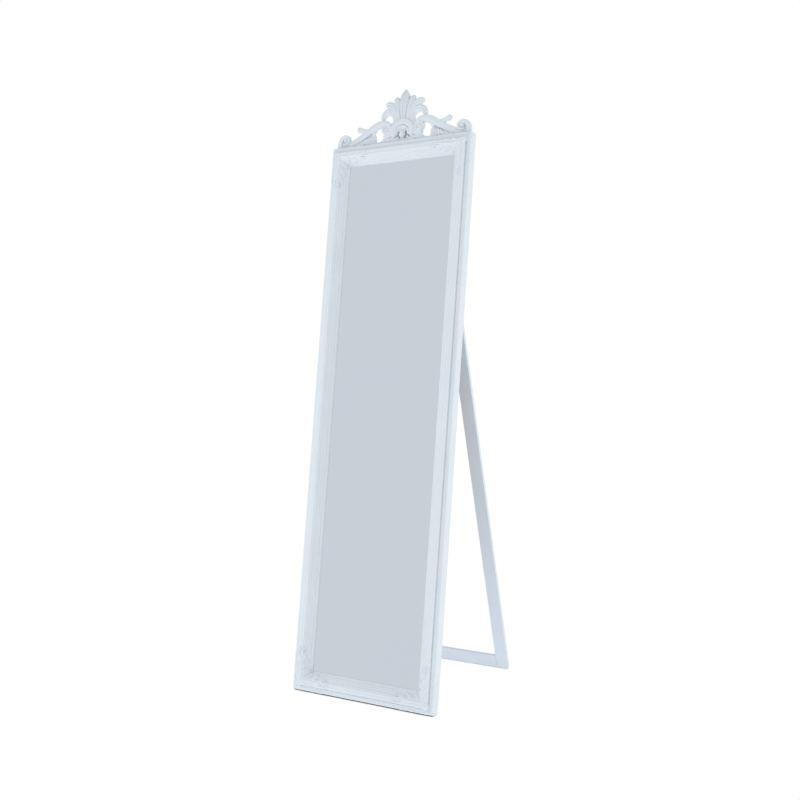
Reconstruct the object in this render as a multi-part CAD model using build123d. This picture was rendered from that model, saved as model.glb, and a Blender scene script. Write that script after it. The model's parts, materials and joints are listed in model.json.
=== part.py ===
"""Full-length floor mirror with a folding easel back.

The pieces are drawn in the frame's own axes: X across, Z up the frame from the
bottom edge, Y out of the back (Y = 0 is the back plane and the carved face looks
along -Y).  The whole frame is then leaned back by TILT and set on the floor.
All lengths are in millimetres.
"""
import math
import os

from build123d import *

OUT = "parts"
os.makedirs(OUT, exist_ok=True)

# ---------------------------------------------------------------- main sizes
W, H = 474.0, 1632.0          # frame outside, along its own face
DEPTH = 38.0                  # crown of the moulding above the back plane
FACE = 58.0                   # moulding width, outside to sight edge
REBATE = 10.0                 # rebate width behind the lip
GLASS_FRONT = 12.0            # glass face above the back plane
TILT = 7.6                    # lean of the frame from upright, degrees
LEG_ANGLE = 16.6              # lean of the easel the other way, degrees
OPEN = TILT + LEG_ANGLE       # angle between easel and frame when open
STAND_FLAT = 10.0             # width planed flat under the frame's back edge

LEG_OUT, BOARD, BOARD_T = 209.0, 41.0, 10.0      # easel half width, board width, thickness
PIN_Y, PIN_Z = 3.5, 1186.0    # hinge pin behind the back plane and up the frame
PIN_R, KNUCKLE_R, LEAF_T, LEAF_W = 1.5, 3.0, 1.2, 10.5
HINGE_X, HINGE_L = 115.0, 50.0
BATTEN_H, BATTEN_T, BATTEN_X = 45.0, 18.0, 225.0

# ---------------------------------------------------------------- placing
t, s = math.radians(TILT), math.radians(LEG_ANGLE)
Z0 = -STAND_FLAT * math.sin(t)
PIN_UP = Z0 + PIN_Z * math.cos(t) - PIN_Y * math.sin(t)          # pin above the floor
LEG_LEN = PIN_UP / math.cos(s)                                   # pin to floor down the leg
PIN_BACK = PIN_Z * math.sin(t) + PIN_Y * math.cos(t)
FOOT_BACK = PIN_BACK + LEG_LEN * math.sin(s) + BOARD_T / math.cos(s)
EASEL = Pos(0, PIN_Y, PIN_Z) * Rot(OPEN, 0, 0)                    # easel axes inside the frame's
FLOOR = Pos(0, 0, -100) * Box(2000, 3000, 200)


def save(name, shape):
    """Lean a piece into place and write it as one STEP file."""
    placed = FRAME * shape
    export_step(placed, os.path.join(OUT, name + ".step"))
    return placed


def save_on_floor(name, shape):
    """The same for a piece that is planed flat where it stands."""
    placed = (FRAME * shape) - FLOOR
    export_step(placed, os.path.join(OUT, name + ".step"))
    return placed


def box(x0, x1, y0, y1, z0, z1):
    return Pos((x0 + x1) / 2, (y0 + y1) / 2, (z0 + z1) / 2) * Box(x1 - x0, y1 - y0, z1 - z0)


def screw(d, length, head):
    """Countersunk slotted wood screw, head flush at Z = 0, pointing down -Z."""
    cone = (head - d) / 2
    body = Pos(0, 0, -cone / 2) * Cone(d / 2, head / 2, cone)
    body += Pos(0, 0, -(cone + (length - 2 * d)) / 2) * Cylinder(d / 2, length - 2 * d - cone)
    body += Pos(0, 0, -length + d) * Cone(d * 0.12, d / 2, 2 * d)
    return body - box(-head, head, -0.3, 0.3, -0.55, 1)


def round_screw(d, length, head):
    """Round-head screw whose head sits on the Z = 0 face."""
    dome = Sphere(head * 0.62) & box(-head, head, -head, head, head * 0.35, head)
    dome = Pos(0, 0, -head * 0.35) * dome
    body = Pos(0, 0, -(length - 2 * d) / 2) * Cylinder(d / 2, length - 2 * d)
    body += Pos(0, 0, -length + d) * Cone(d * 0.12, d / 2, 2 * d)
    return body + dome - box(-head, head, -0.3, 0.3, head * 0.14, head)


# ---------------------------------------------------------------- moulding
def moulding_face():
    """Section of the moulding: p inward from the outside edge, n out of the back."""
    def q(p, n):
        return (-n, p)
    line = Line(q(0, 0), q(0, 25.5))
    line += ThreePointArc(q(0, 25.5), q(1.0, 28.0), q(3.5, 29.0))
    line += Polyline(q(3.5, 29.0), q(11.0, 29.0), q(11.8, 22.5))          # shoulder, then a deep quirk
    line += ThreePointArc(q(11.8, 22.5), q(13.6, 20.8), q(15.3, 22.5))
    line += Line(q(15.3, 22.5), q(15.5, 35.4))
    line += ThreePointArc(q(15.5, 35.4), q(26.0, DEPTH), q(36.5, 35.4))
    line += ThreePointArc(q(36.5, 35.4), q(40.4, 28.6), q(46.4, 25.0))
    a, b = (46.4, 25.0), (55.9, 17.4)                 # three fine reeds down to the lip
    for i in range(3):
        f = [(a[0] + (b[0] - a[0]) * k / 6, a[1] + (b[1] - a[1]) * k / 6) for k in (2 * i, 2 * i + 1, 2 * i + 2)]
        line += ThreePointArc(q(*f[0]), q(f[1][0] + 0.55, f[1][1] + 0.7), q(*f[2]))
    line += Polyline(q(*b), q(FACE, 15.6), q(FACE, GLASS_FRONT), q(FACE - REBATE, GLASS_FRONT),
                     q(FACE - REBATE, 0), q(0, 0))
    return Plane.YZ * make_face(line)


def carving_face():
    """Section that wraps the front of the moulding for the applied corner leaves."""
    pts = [(8, 16), (-1.5, 19), (-1.5, 27), (1, 31.6), (10.8, 32), (11.4, 26), (14.9, 26), (14.2, 38), (20, 40.7),
           (26, 41.5), (33, 40.6), (38.5, 38), (42, 32.6), (48, 28.6), (54, 23.6), (57.6, 18), (54, 15), (40, 19), (20, 18)]
    return Plane.YZ * make_face(Polyline(*[(-n, p) for p, n in pts], close=True))


def mitred(face, length, width=FACE + 2):
    """Run a section along X and cut both ends at 45 degrees."""
    stick = extrude(face, amount=length / 2 + 5, both=True)
    pts = [(-length / 2 - 3, -3), (length / 2 + 3, -3), (length / 2 - width, width), (-length / 2 + width, width)]
    wedge = extrude(Plane.XZ * make_face(Polyline(*pts, close=True)), amount=60, both=True)
    return stick & wedge


SECTION = moulding_face()
BOTTOM = Pos(0, 0, 0)
TOP = Pos(0, 0, H) * Rot(0, 180, 0)
LEFT = Pos(-W / 2, 0, H / 2) * Rot(0, 90, 0)
RIGHT = Pos(W / 2, 0, H / 2) * Rot(0, -90, 0)
bottom_rail = BOTTOM * mitred(SECTION, W)
top_rail = TOP * mitred(SECTION, W)
left_stile = LEFT * mitred(SECTION, H)
right_stile = RIGHT * mitred(SECTION, H)

# ---------------------------------------------------------------- corner carvings
LEAVES = [(82, 12, 22, 13, -8), (86, 40, 23, 14, 10), (104, 26, 24, 12, 0), (99, 8, 14, 8, -18),
          (101, 43, 15, 8, 20), (120, 24, 15, 8, 4), (66, 50, 16, 10, 30)]


def leaf_spray():
    """Lobed leaf outline over one arm of a corner, running in from the left end."""
    spray = Pos(34, 27) * Rectangle(76, 62)
    for a, p, ra, rb, turn in LEAVES:
        spray += Pos(a, p) * Rot(0, 0, turn) * Ellipse(ra, rb)
    return extrude(Plane.XZ * spray, amount=60)


def carving_arm(length):
    """One arm of the carving at the left end of a mitred run."""
    shell = mitred(carving_face(), length)
    shell -= mitred(SECTION, length, FACE + 2)
    return shell & (Pos(-length / 2, 0, 0) * leaf_spray())


arm_h = carving_arm(W)
arm_v = carving_arm(H)
corner_bl = (BOTTOM * arm_h) + (LEFT * mirror(arm_v, about=Plane.YZ))
corner_br = mirror(corner_bl, about=Plane.YZ)
corner_tl = mirror(corner_bl, about=Plane.XY.offset(H / 2))
corner_tr = mirror(corner_tl, about=Plane.YZ)

# the foot of the easel and the front of the bottom carvings are equally far from the origin
FRONT = -(Rot(-TILT, 0, 0) * corner_bl).bounding_box().min.Y
Y0 = (FRONT - FOOT_BACK) / 2
FRAME = Pos(0, Y0, Z0) * Rot(-TILT, 0, 0)


# ---------------------------------------------------------------- crest
def plate(sketch, n, n0=0.0):
    """Raise a drawing in the frame's face from n0 to n above the back plane."""
    return Pos(0, -n0, H) * extrude(Plane.XZ * sketch, amount=n - n0)


def both(sketch):
    return sketch + mirror(sketch, about=Plane.YZ)


def lobe(u, h, ru, rh, turn):
    return Pos(u, h) * Rot(0, 0, turn) * Ellipse(ru, rh)


edge = Spline((196, 22), (181, 22), (165, 29), (150, 37), (134, 46), (118, 55), (100, 65), (84, 71.5), (70, 74),
              (56, 71), (44, 63), (34, 50))
body = make_face(edge + Polyline((34, 50), (0, 50), (0, 0), (218, 0), (196, 22)))
hole = lobe(79, 30, 19.5, 19, 0)
upper_gap = lobe(47, 76.5, 15, 9.5, -6)
roll = lobe(57, 45, 16.5, 16.5, 0)
scroll_disc = Pos(206, 19.5) * Circle(22.5) - Pos(206, -50) * Rectangle(80, 100)
ARM = [(190, 14), (170, 20), (150, 28), (130, 38), (112, 49), (96, 58), (80, 64.5), (66, 65)]
arm_line = Spline(*ARM)

crest = plate(both(body - hole), 12)
crest += plate(both(scroll_disc), 16)
crest += plate(both(roll), 17)
band = make_face(Spline(*[(u, h + 7) for u, h in ARM]) + Line((66, 72), (66, 58)) + Spline(*[(u, h - 7) for u, h in ARM[::-1]])
                 + Line((190, 7), (190, 21)))
crest += plate(both(band), 17)
crest += plate(both(lobe(139, 55, 20, 6, 8) + lobe(154, 55, 9.5, 8.5, 0)), 13)
stem = make_face(Polyline((0, 52), (33, 52), (31, 66), (33, 84), (42, 104), (0, 110), close=True))
crest += plate(both(stem), 14)
crest += plate(both(lobe(59, 97, 23, 14, -22) + lobe(70, 86, 11, 13, 0) - upper_gap), 15)
crest += plate(both(lobe(45, 104, 13, 31, -34)), 18)
crest += plate(both(lobe(24, 110, 12.5, 31, -9)), 20)
leaf_side = Spline((0, 162.2), (8, 150), (14.5, 138), (14.5, 126), (11, 106), (7, 84), (6, 60))
crest += plate(both(make_face(leaf_side + Polyline((6, 60), (0, 60), (0, 162.2)))), 22)
above_sill = Pos(0, 60) * Rectangle(200, 84)
crest += plate((Pos(0, 28) * Circle(42) - Pos(0, 28) * Circle(25)) & above_sill, 25)
crest += plate((Pos(0, 28) * Circle(25)) & (Pos(0, 40) * Rectangle(80, 80)), 18)
crest += plate((Pos(0, 28) * Circle(21) - Pos(0, 28) * Circle(14)) & above_sill, 22)
for u, h, ru, rh, turn, n in [(24, 15, 15, 7, 50, 20), (37, 13, 24, 7, -28, 18), (56, 8.5, 31, 6.5, -8, 16)]:
    crest += plate(both(lobe(u, h, ru, rh, turn) & (Pos(0, 100) * Rectangle(400, 200))), n)
for i in range(5):
    crest += plate(both(lobe(104 + 9 * i, 15 - i, 3.2, 14 - i, -14 - 7 * i) & (Pos(0, 100) * Rectangle(400, 200))), 15)
for side in (-1, 1):
    crest += Pos(side * 206, -15, H + 21) * Torus(15, 5.5).rotate(Axis.X, 90) & Pos(0, -30, H + 100) * Box(600, 60, 200)
    crest += Pos(side * 203, -15, H + 24) * Sphere(7.5)
    crest += Pos(side * 57, -12, H + 45) * Sphere(13.5)
crest += Pos(0, -17, H + 23) * Sphere(13)
crest = crest & Pos(0, -30, H + 100) * Box(600, 60, 200)

# ---------------------------------------------------------------- glass and back
in_w, in_h = W - 2 * (FACE - REBATE), H - 2 * (FACE - REBATE)
mirror_glass = box(-in_w / 2 + 1, in_w / 2 - 1, -GLASS_FRONT, -8, H / 2 - in_h / 2 + 1, H / 2 + in_h / 2 - 1)
cushion = box(-in_w / 2 + 2, in_w / 2 - 2, -8, -6.5, H / 2 - in_h / 2 + 2, H / 2 + in_h / 2 - 2)
back_board = box(-in_w / 2 + 0.5, in_w / 2 - 0.5, -6.5, -0.5, H / 2 - in_h / 2 + 0.5, H / 2 + in_h / 2 - 0.5)

# a screw driven from behind, into the back of the frame (towards -Y)
FROM_BACK = Rot(-90, 0, 0)


def behind(x, z, y=0.0):
    return Pos(x, y, z) * FROM_BACK


clip_sites = [(sx * 198, z, sx) for z in (190, 520, 850, 1400) for sx in (-1, 1)]
clips, clip_screws = [], []
tab = extrude(Plane.XZ * (Rectangle(16, 10) + Pos(-8, 0) * Circle(5) + Pos(8, 0) * Circle(5)), amount=1.2)
tab = Pos(0, 1.2, 0) * tab
for x, z, sx in clip_sites:
    clips.append((Pos(x - sx * 8, 0, z) * tab) - behind(x, z) * Cylinder(1.6, 10))
    clip_screws.append(behind(x, z, 1.2) * round_screw(3, 14, 5.5))
for z, sz in ((39.5, 1), (H - 39.5, -1)):
    clips.append((Pos(0, 0, z + sz * 8) * Rot(0, 90, 0) * tab) - behind(0, z) * Cylinder(1.6, 10))
    clip_screws.append(behind(0, z, 1.2) * round_screw(3, 14, 5.5))

corner_plates, plate_screws = [], []
for sx in (-1, 1):
    for cz, sz in ((0, 1), (H, -1)):
        x, z = sx * (W / 2 - 8), cz + sz * 8
        ell = box(min(x, x - sx * 62), max(x, x - sx * 62), 0, 2, min(z, z + sz * 15), max(z, z + sz * 15))
        ell += box(min(x, x - sx * 15), max(x, x - sx * 15), 0, 2, min(z, z + sz * 62), max(z, z + sz * 62))
        spots = [(24, 7.5), (53, 7.5), (7.5, 24), (7.5, 53)]
        for a, b in spots:
            one = behind(x - sx * a, z + sz * b, 2) * screw(3.5, 17, 7)
            plate_screws.append(one)
            ell -= behind(x - sx * a, z + sz * b, 2) * (Pos(0, 0, -0.875) * Cone(1.75, 3.5, 1.75) + Cylinder(1.75, 10))
        corner_plates.append(ell)

crest_plates, crest_screws = [], []
for sx in (-1, 1):
    strap = box(sx * 128 - 8, sx * 128 + 8, 0, 2, H - 34, H + 30)
    for z in (H - 27, H - 11, H + 9, H + 23):
        crest_screws.append(behind(sx * 128, z, 2) * screw(3, 13, 6))
        strap -= behind(sx * 128, z, 2) * (Pos(0, 0, -0.75) * Cone(1.5, 3, 1.5) + Cylinder(1.5, 10))
    crest_plates.append(strap)

# ---------------------------------------------------------------- hinge batten
BATTEN_Z = PIN_Z + 0.05 + LEAF_T
batten = box(-BATTEN_X, BATTEN_X, 0, BATTEN_T, BATTEN_Z, BATTEN_Z + BATTEN_H)
batten = fillet([e for e in batten.edges() if e.center().Y > BATTEN_T - 1 and e.center().Z > BATTEN_Z + 1], 2)
batten_screws = [behind(sx * 208, BATTEN_Z + z, BATTEN_T) * screw(4.5, 38, 9) for sx in (-1, 1) for z in (12, 33)]

# ---------------------------------------------------------------- hinges
third = HINGE_L / 3


def leaf(side, moving):
    """Hinge leaf lying flat at the open position; the moving one is the lower leaf."""
    x0 = side * HINGE_X - HINGE_L / 2
    spans = [(third + 0.1, 2 * third - 0.1)] if moving else [(0, third - 0.1), (2 * third + 0.1, HINGE_L)]
    lo, hi = (-0.05 - LEAF_T, -0.05) if moving else (0.05, 0.05 + LEAF_T)
    y, z = PIN_Y, PIN_Z
    shape = box(x0, x0 + HINGE_L, y + KNUCKLE_R + 0.3, y + LEAF_W, z + lo, z + hi)
    for a, b in spans:
        shape += box(x0 + a, x0 + b, y + 0.2, y + KNUCKLE_R + 1, z + lo, z + hi)
        shape += Pos(x0 + (a + b) / 2, y, z) * Rot(0, 90, 0) * Cylinder(KNUCKLE_R, b - a)
    bore = PIN_R + 0.05 if moving else PIN_R
    shape -= Pos(side * HINGE_X, y, z) * Rot(0, 90, 0) * Cylinder(bore, HINGE_L + 10)
    return shape


def knuckle_room(side, r=KNUCKLE_R + 0.35):
    return Pos(side * HINGE_X, PIN_Y, PIN_Z) * Rot(0, 90, 0) * Cylinder(r, HINGE_L + 0.6)


SCREW_Y = PIN_Y + 7.0
fixed, moving, pins, fixed_screws, moving_screws = {}, {}, {}, [], []
for name, side in (("left", -1), ("right", 1)):
    fixed[name], moving[name] = leaf(side, False), leaf(side, True)
    pins[name] = Pos(side * HINGE_X, PIN_Y, PIN_Z) * Rot(0, 90, 0) * Cylinder(PIN_R, HINGE_L)
    for dx in (-18, 0, 18):
        x = side * HINGE_X + dx
        up = Pos(x, SCREW_Y, PIN_Z + 0.05) * Rot(180, 0, 0)
        down = Pos(x, SCREW_Y, PIN_Z - 0.05)
        cut = Pos(0, 0, -0.7) * Cone(1.2, 2.6, 1.4) + Cylinder(1.2, 12)
        fixed_screws.append(up * screw(2.4, 14, 5))
        moving_screws.append(down * screw(2.4, 10.5, 5))
        fixed[name] -= up * (Pos(0, 0, -0.65) * Cone(1.2, 2.5, 1.3) + Cylinder(1.2, 12))
        moving[name] -= down * (Pos(0, 0, -0.65) * Cone(1.2, 2.5, 1.3) + Cylinder(1.2, 12))

# ---------------------------------------------------------------- easel
ABOVE = box(-300, 300, -50, 80, PIN_Z - 0.05 - LEAF_T, PIN_Z + 80)     # clears the hinge leaf
IN = LEG_OUT - BOARD


EASE, TOE_R = 1.5, 9.0        # eased arrises, and the rounded toe of each leg


def rail(z0, z1):
    """Cross rail of the easel: Z down from the pin, front face on the pin's plane."""
    plank = box(-IN, IN, 0, BOARD_T, z0, z1)
    return EASEL * fillet(plank.edges().filter_by(Axis.X), EASE)


def leg(side):
    """Side board with a rounded outer toe and eased arrises, long enough to be trimmed."""
    bottom = -LEG_LEN - 1.6
    outline = Pos(side * (IN + BOARD / 2), (bottom + 20) / 2) * Rectangle(BOARD, 20 - bottom)
    toe = [v for v in outline.vertices() if v.Y < 0 and side * v.X > IN + 1]
    outline = fillet(toe, TOE_R)
    plank = Pos(0, BOARD_T, 0) * extrude(Plane.XZ * outline, amount=BOARD_T)
    rims = [e for e in plank.edges() if abs(e.center().Y - BOARD_T / 2) > 1 and e.center().Z < 0]
    return EASEL * fillet(rims, EASE)


easel_top_rail = rail(-BOARD, 20) - ABOVE
easel_bottom_rail = rail(-LEG_LEN - 20, -LEG_LEN + BOARD)
legs = {"left": leg(-1) - ABOVE, "right": leg(1) - ABOVE}
dowels = []
for side in (-1, 1):
    for z in (-15, -31, -LEG_LEN + 11, -LEG_LEN + 29):
        dowels.append(EASEL * Pos(side * IN, BOARD_T / 2, z) * Rot(0, 90, 0) * Cylinder(3, 44))
for one in dowels:
    easel_top_rail -= one
    easel_bottom_rail -= one
    for name in legs:
        legs[name] -= one
for side in (-1, 1):
    easel_top_rail -= knuckle_room(side)
    batten -= knuckle_room(side)
for one in moving_screws:
    easel_top_rail -= one
for one in fixed_screws + batten_screws:
    batten -= one


# ---------------------------------------------------------------- screw holes in the frame
def bored(part, screws, x0, x1, z0, z1):
    """Take out only the screws whose place lies inside the given window."""
    for one in screws:
        c = one.center()
        if x0 <= c.X <= x1 and z0 <= c.Z <= z1:
            part -= one
    return part


edge_w = FACE
all_back = clip_screws + plate_screws + batten_screws
left_stile = bored(left_stile, [k for k in all_back if k.center().X < -W / 2 + edge_w], -W, 0, -1, H + 1)
right_stile = bored(right_stile, [k for k in all_back if k.center().X > W / 2 - edge_w], 0, W, -1, H + 1)
bottom_rail = bored(bottom_rail, clip_screws + plate_screws, -W, W, -1, edge_w)
top_rail = bored(top_rail, clip_screws + plate_screws + crest_screws, -W, W, H - edge_w, H)
crest = bored(crest, crest_screws, -W, W, H, H + 200)

# ---------------------------------------------------------------- write the pieces
def group(items):
    return Compound(children=list(items))


save("top_rail", top_rail)
save_on_floor("bottom_rail", bottom_rail)
save_on_floor("left_stile", left_stile)
save_on_floor("right_stile", right_stile)
save("corner_carving_top_left", corner_tl)
save("corner_carving_top_right", corner_tr)
save_on_floor("corner_carving_bottom_left", corner_bl)
save_on_floor("corner_carving_bottom_right", corner_br)
save("crest", crest)
save("crest_straps", group(crest_plates))
save("crest_strap_screws", group(crest_screws))
save("mirror_glass", mirror_glass)
save("cushion_sheet", cushion)
save("back_board", back_board)
save("back_clips", group(clips))
save("back_clip_screws", group(clip_screws))
save("corner_plates", group(corner_plates))
save("corner_plate_screws", group(plate_screws))
save("hinge_batten", batten)
save("batten_screws", group(batten_screws))
for name in ("left", "right"):
    save("hinge_" + name + "_fixed_leaf", fixed[name])
    save("hinge_" + name + "_moving_leaf", moving[name])
    save("hinge_" + name + "_pin", pins[name])
save("hinge_fixed_screws", group(fixed_screws))
save("hinge_moving_screws", group(moving_screws))
save("easel_top_rail", easel_top_rail)
save_on_floor("easel_bottom_rail", easel_bottom_rail)
for name, part in legs.items():
    save_on_floor("easel_" + name + "_leg", part)
save("easel_dowels", group(dowels))

print("pin at", round(Y0 + PIN_BACK, 3), round(PIN_UP, 3), "leg", round(LEG_LEN, 2), "Y0", round(Y0, 3), "Z0", round(Z0, 3))
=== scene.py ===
"""Full-length floor mirror with a folding easel back: the looks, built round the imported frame.

Shapes are worked out in the leaned frame's own axes, in millimetres: u across the
frame, n out of the carved face from the back plane, v up the frame from its bottom
edge.  FrameAxes turns them into the row frame, in metres.
"""
from __future__ import annotations

import json
import logging
import math
from dataclasses import dataclass, field, replace
from enum import Enum
from typing import Callable, Sequence

import bmesh
import bpy
import numpy as np
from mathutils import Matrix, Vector

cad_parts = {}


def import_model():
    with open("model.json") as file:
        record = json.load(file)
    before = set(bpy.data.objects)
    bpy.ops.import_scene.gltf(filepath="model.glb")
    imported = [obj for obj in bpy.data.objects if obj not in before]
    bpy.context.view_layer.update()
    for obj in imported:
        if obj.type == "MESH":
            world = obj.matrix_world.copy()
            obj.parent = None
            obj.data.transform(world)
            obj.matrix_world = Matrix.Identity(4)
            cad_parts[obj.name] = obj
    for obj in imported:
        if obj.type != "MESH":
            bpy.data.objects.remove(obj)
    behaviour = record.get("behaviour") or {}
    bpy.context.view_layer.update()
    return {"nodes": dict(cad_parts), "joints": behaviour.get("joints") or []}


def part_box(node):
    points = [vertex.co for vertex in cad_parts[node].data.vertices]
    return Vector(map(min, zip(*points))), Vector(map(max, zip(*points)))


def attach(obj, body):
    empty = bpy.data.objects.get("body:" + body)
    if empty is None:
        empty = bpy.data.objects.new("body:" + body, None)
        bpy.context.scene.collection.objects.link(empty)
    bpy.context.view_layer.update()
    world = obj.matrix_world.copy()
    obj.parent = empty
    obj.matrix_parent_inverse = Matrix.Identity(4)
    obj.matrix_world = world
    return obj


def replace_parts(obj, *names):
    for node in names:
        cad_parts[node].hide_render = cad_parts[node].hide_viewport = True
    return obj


MM = 0.001
log = logging.getLogger("floor_mirror")

Point = tuple[float, float]
Triple = tuple[float, float, float]
Station = tuple[float, float, float, float]
Colour = Triple
Place = Callable[[np.ndarray, np.ndarray, np.ndarray], np.ndarray]
Socket = bpy.types.NodeSocket
Tree = bpy.types.NodeTree

GLASS_THICK = 4.0  # the pane
GLASS_INSET = 49.0  # from the frame's outside edge to the pane's edge
PIN_OUT, PIN_UP = -3.5, 1186.0  # the hinge pin, as n and v
MIN_HALF = 0.3  # least half width of a leaf
MIN_EDGE = 0.4  # least thickness of a leaf's edge
END_SHARE = 0.04  # share of its width that a leaf keeps at its very ends
END_FALL = 0.6  # power with which its height falls away there
UNDERSIDE = 6  # points across its flat underside
CARVED_CREASE = 60.0  # sharpest fold, in degrees, that carving shades as smooth


# ------------------------------------------------------------------ curves and skins
def spline(rows: np.ndarray, at: np.ndarray) -> np.ndarray:
    """Natural cubic spline through rows of values, spaced by the length of their first two columns.

    The second derivatives solve the usual tridiagonal system, and each span is the
    cubic that has those derivatives and passes through both of its ends.

    Args:
        rows: (points, columns) values to pass through.
        at: places along the curve, 0 at the first row and 1 at the last.

    Returns:
        (len(at), columns) values.
    """
    steps = np.linalg.norm(np.diff(rows[:, :2], axis=0), axis=1)
    knots = np.concatenate([[0.0], np.cumsum(steps)]) / steps.sum()
    gaps, count = np.diff(knots), len(knots)
    system, right = np.eye(count), np.zeros_like(rows)
    inner = np.arange(1, count - 1)
    system[inner, inner - 1], system[inner, inner + 1] = gaps[:-1], gaps[1:]
    system[inner, inner] = 2 * (gaps[:-1] + gaps[1:])
    slopes = np.diff(rows, axis=0) / gaps[:, None]
    right[1:-1] = 6 * np.diff(slopes, axis=0)
    curve = np.linalg.solve(system, right)
    span = np.clip(np.searchsorted(knots, at, side="right") - 1, 0, count - 2)
    gap, left = gaps[span][:, None], (at - knots[span])[:, None]
    rest = gap - left
    bend = (curve[span] * rest**3 + curve[span + 1] * left**3) / (6 * gap)
    straight = (rows[span] / gap - curve[span] * gap / 6) * rest
    return bend + straight + (rows[span + 1] / gap - curve[span + 1] * gap / 6) * left


def arc(a: Sequence[float], b: Sequence[float], c: Sequence[float], count: int = 14) -> np.ndarray:
    """Points on the circle through a, b and c, from a to c.

    The centre is where the two bisectors meet, and the angle runs evenly from a to c
    on the side that b is on.

    Args:
        a: first point.
        b: a point between.
        c: last point.
        count: number of points.

    Returns:
        (count, 2) points.
    """
    p, q, r = (np.array(x, float) for x in (a, b, c))
    matrix = 2 * np.array([q - p, r - p])
    centre = np.linalg.solve(matrix, np.array([q @ q - p @ p, r @ r - p @ p]))
    turns = [math.atan2(*(x - centre)[::-1]) for x in (p, q, r)]
    sweep = (turns[2] - turns[0]) % math.tau
    if (turns[1] - turns[0]) % math.tau > sweep:
        sweep -= math.tau
    angle = turns[0] + sweep * np.linspace(0, 1, count)
    return centre + np.linalg.norm(p - centre) * np.stack([np.cos(angle), np.sin(angle)], 1)


def softened(outline: np.ndarray, step: float, radius: float) -> np.ndarray:
    """A closed outline spaced evenly, with its corners rounded as a coat of paint rounds them.

    Each point becomes the mean of the outline over one radius either side of it.

    Args:
        outline: (points, 2) corners in order, not repeated at the end.
        step: spacing of the new points.
        radius: half of the length that is averaged.

    Returns:
        (count, 2) points round the outline.
    """
    loop = np.vstack([outline, outline[:1]])
    along = np.concatenate([[0.0], np.cumsum(np.linalg.norm(np.diff(loop, axis=0), axis=1))])
    count = int(along[-1] / step)
    even = np.arange(count) * along[-1] / count
    points = np.stack([np.interp(even, along, loop[:, k]) for k in (0, 1)], 1)
    reach = max(1, round(radius / step))
    return np.mean([np.roll(points, k, axis=0) for k in range(-reach, reach + 1)], axis=0)


@dataclass
class Skin:
    """Points and faces of one or more closed surfaces, ready to become a mesh."""

    points: list[np.ndarray] = field(default_factory=list)
    faces: list[np.ndarray] = field(default_factory=list)

    def add(self, points: np.ndarray, faces: Sequence[np.ndarray]) -> None:
        """Takes in one more surface.

        Args:
            points: its points, three numbers to each.
            faces: arrays of point numbers, one array for each count of corners.
        """
        start = sum(len(p) for p in self.points)
        self.points.append(points.reshape(-1, 3))
        self.faces += [f + start for f in faces]

    def add_rings(self, rings: np.ndarray) -> None:
        """Joins each ring to the next with quads, and closes both ends with one face.

        Args:
            rings: (stations, around, 3) points.
        """
        stations, around = rings.shape[:2]
        index = np.arange(stations * around).reshape(stations, around)
        a, b = index[:-1], index[1:]
        quads = np.stack([a, b, np.roll(b, -1, 1), np.roll(a, -1, 1)], -1).reshape(-1, 4)
        self.add(rings, [quads, index[:1, ::-1], index[-1:]])

    def add_ball(self, centre: Sequence[float], radii: Sequence[float], place: Place,
                 count: int = 40) -> None:
        """Adds an ellipsoid: rings of latitude nearly from pole to pole, and a small face over each pole.

        Args:
            centre: its centre.
            radii: its three radii.
            place: carries the ellipsoid's points to where they belong.
            count: number of rings.
        """
        high = np.linspace(-0.497, 0.497, count)[:, None] * math.pi
        turn = np.linspace(0, math.tau, 2 * count, endpoint=False)[None]
        x = centre[0] + radii[0] * np.cos(high) * np.cos(turn)
        y = centre[1] + radii[1] * np.cos(high) * np.sin(turn)
        self.add_rings(place(x, y, centre[2] + radii[2] * np.sin(high) + 0 * turn))

    def mesh(self, name: str, scale: float = 1.0) -> bpy.types.Mesh:
        """Writes the surfaces into a mesh whose faces point outwards.

        Args:
            name: name of the mesh.
            scale: factor on every coordinate.

        Returns:
            The new mesh.
        """
        mesh = bpy.data.meshes.new(name)
        points = np.vstack(self.points) * scale
        sizes = np.concatenate([np.full(len(f), f.shape[1]) for f in self.faces])
        corners = np.concatenate([f.ravel() for f in self.faces])
        mesh.vertices.add(len(points))
        mesh.vertices.foreach_set("co", points.ravel())
        mesh.loops.add(len(corners))
        mesh.loops.foreach_set("vertex_index", corners)
        mesh.polygons.add(len(sizes))
        mesh.polygons.foreach_set("loop_start", np.concatenate([[0], np.cumsum(sizes)[:-1]]))
        mesh.update(calc_edges=True)
        mesh.validate()
        shell = bmesh.new()
        shell.from_mesh(mesh)
        bmesh.ops.recalc_face_normals(shell, faces=shell.faces)
        shell.to_mesh(mesh)
        shell.free()
        return mesh


def piece(name: str, mesh: bpy.types.Mesh, crease: float = 35.0) -> bpy.types.Object:
    """Makes a mesh into an object in the scene.

    Args:
        name: name of both.
        mesh: its mesh.
        crease: edges sharper than this, in degrees, stay sharp.

    Returns:
        The object.
    """
    mesh.name = name
    mesh.shade_smooth()
    mesh.set_sharp_from_angle(angle=math.radians(crease))
    made = bpy.data.objects.new(name, mesh)
    bpy.context.scene.collection.objects.link(made)
    return made


def moved(mesh: bpy.types.Mesh, change: Callable[[np.ndarray], np.ndarray]) -> bpy.types.Mesh:
    """Moves all the points of a mesh.

    Args:
        mesh: the mesh.
        change: gives the new (points, 3) array from the old one.

    Returns:
        The same mesh.
    """
    points = np.empty(len(mesh.vertices) * 3, np.float32)
    mesh.vertices.foreach_get("co", points)
    new = change(points.reshape(-1, 3).astype(float))
    mesh.vertices.foreach_set("co", new.astype(np.float32).ravel())
    mesh.update()
    return mesh


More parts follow.
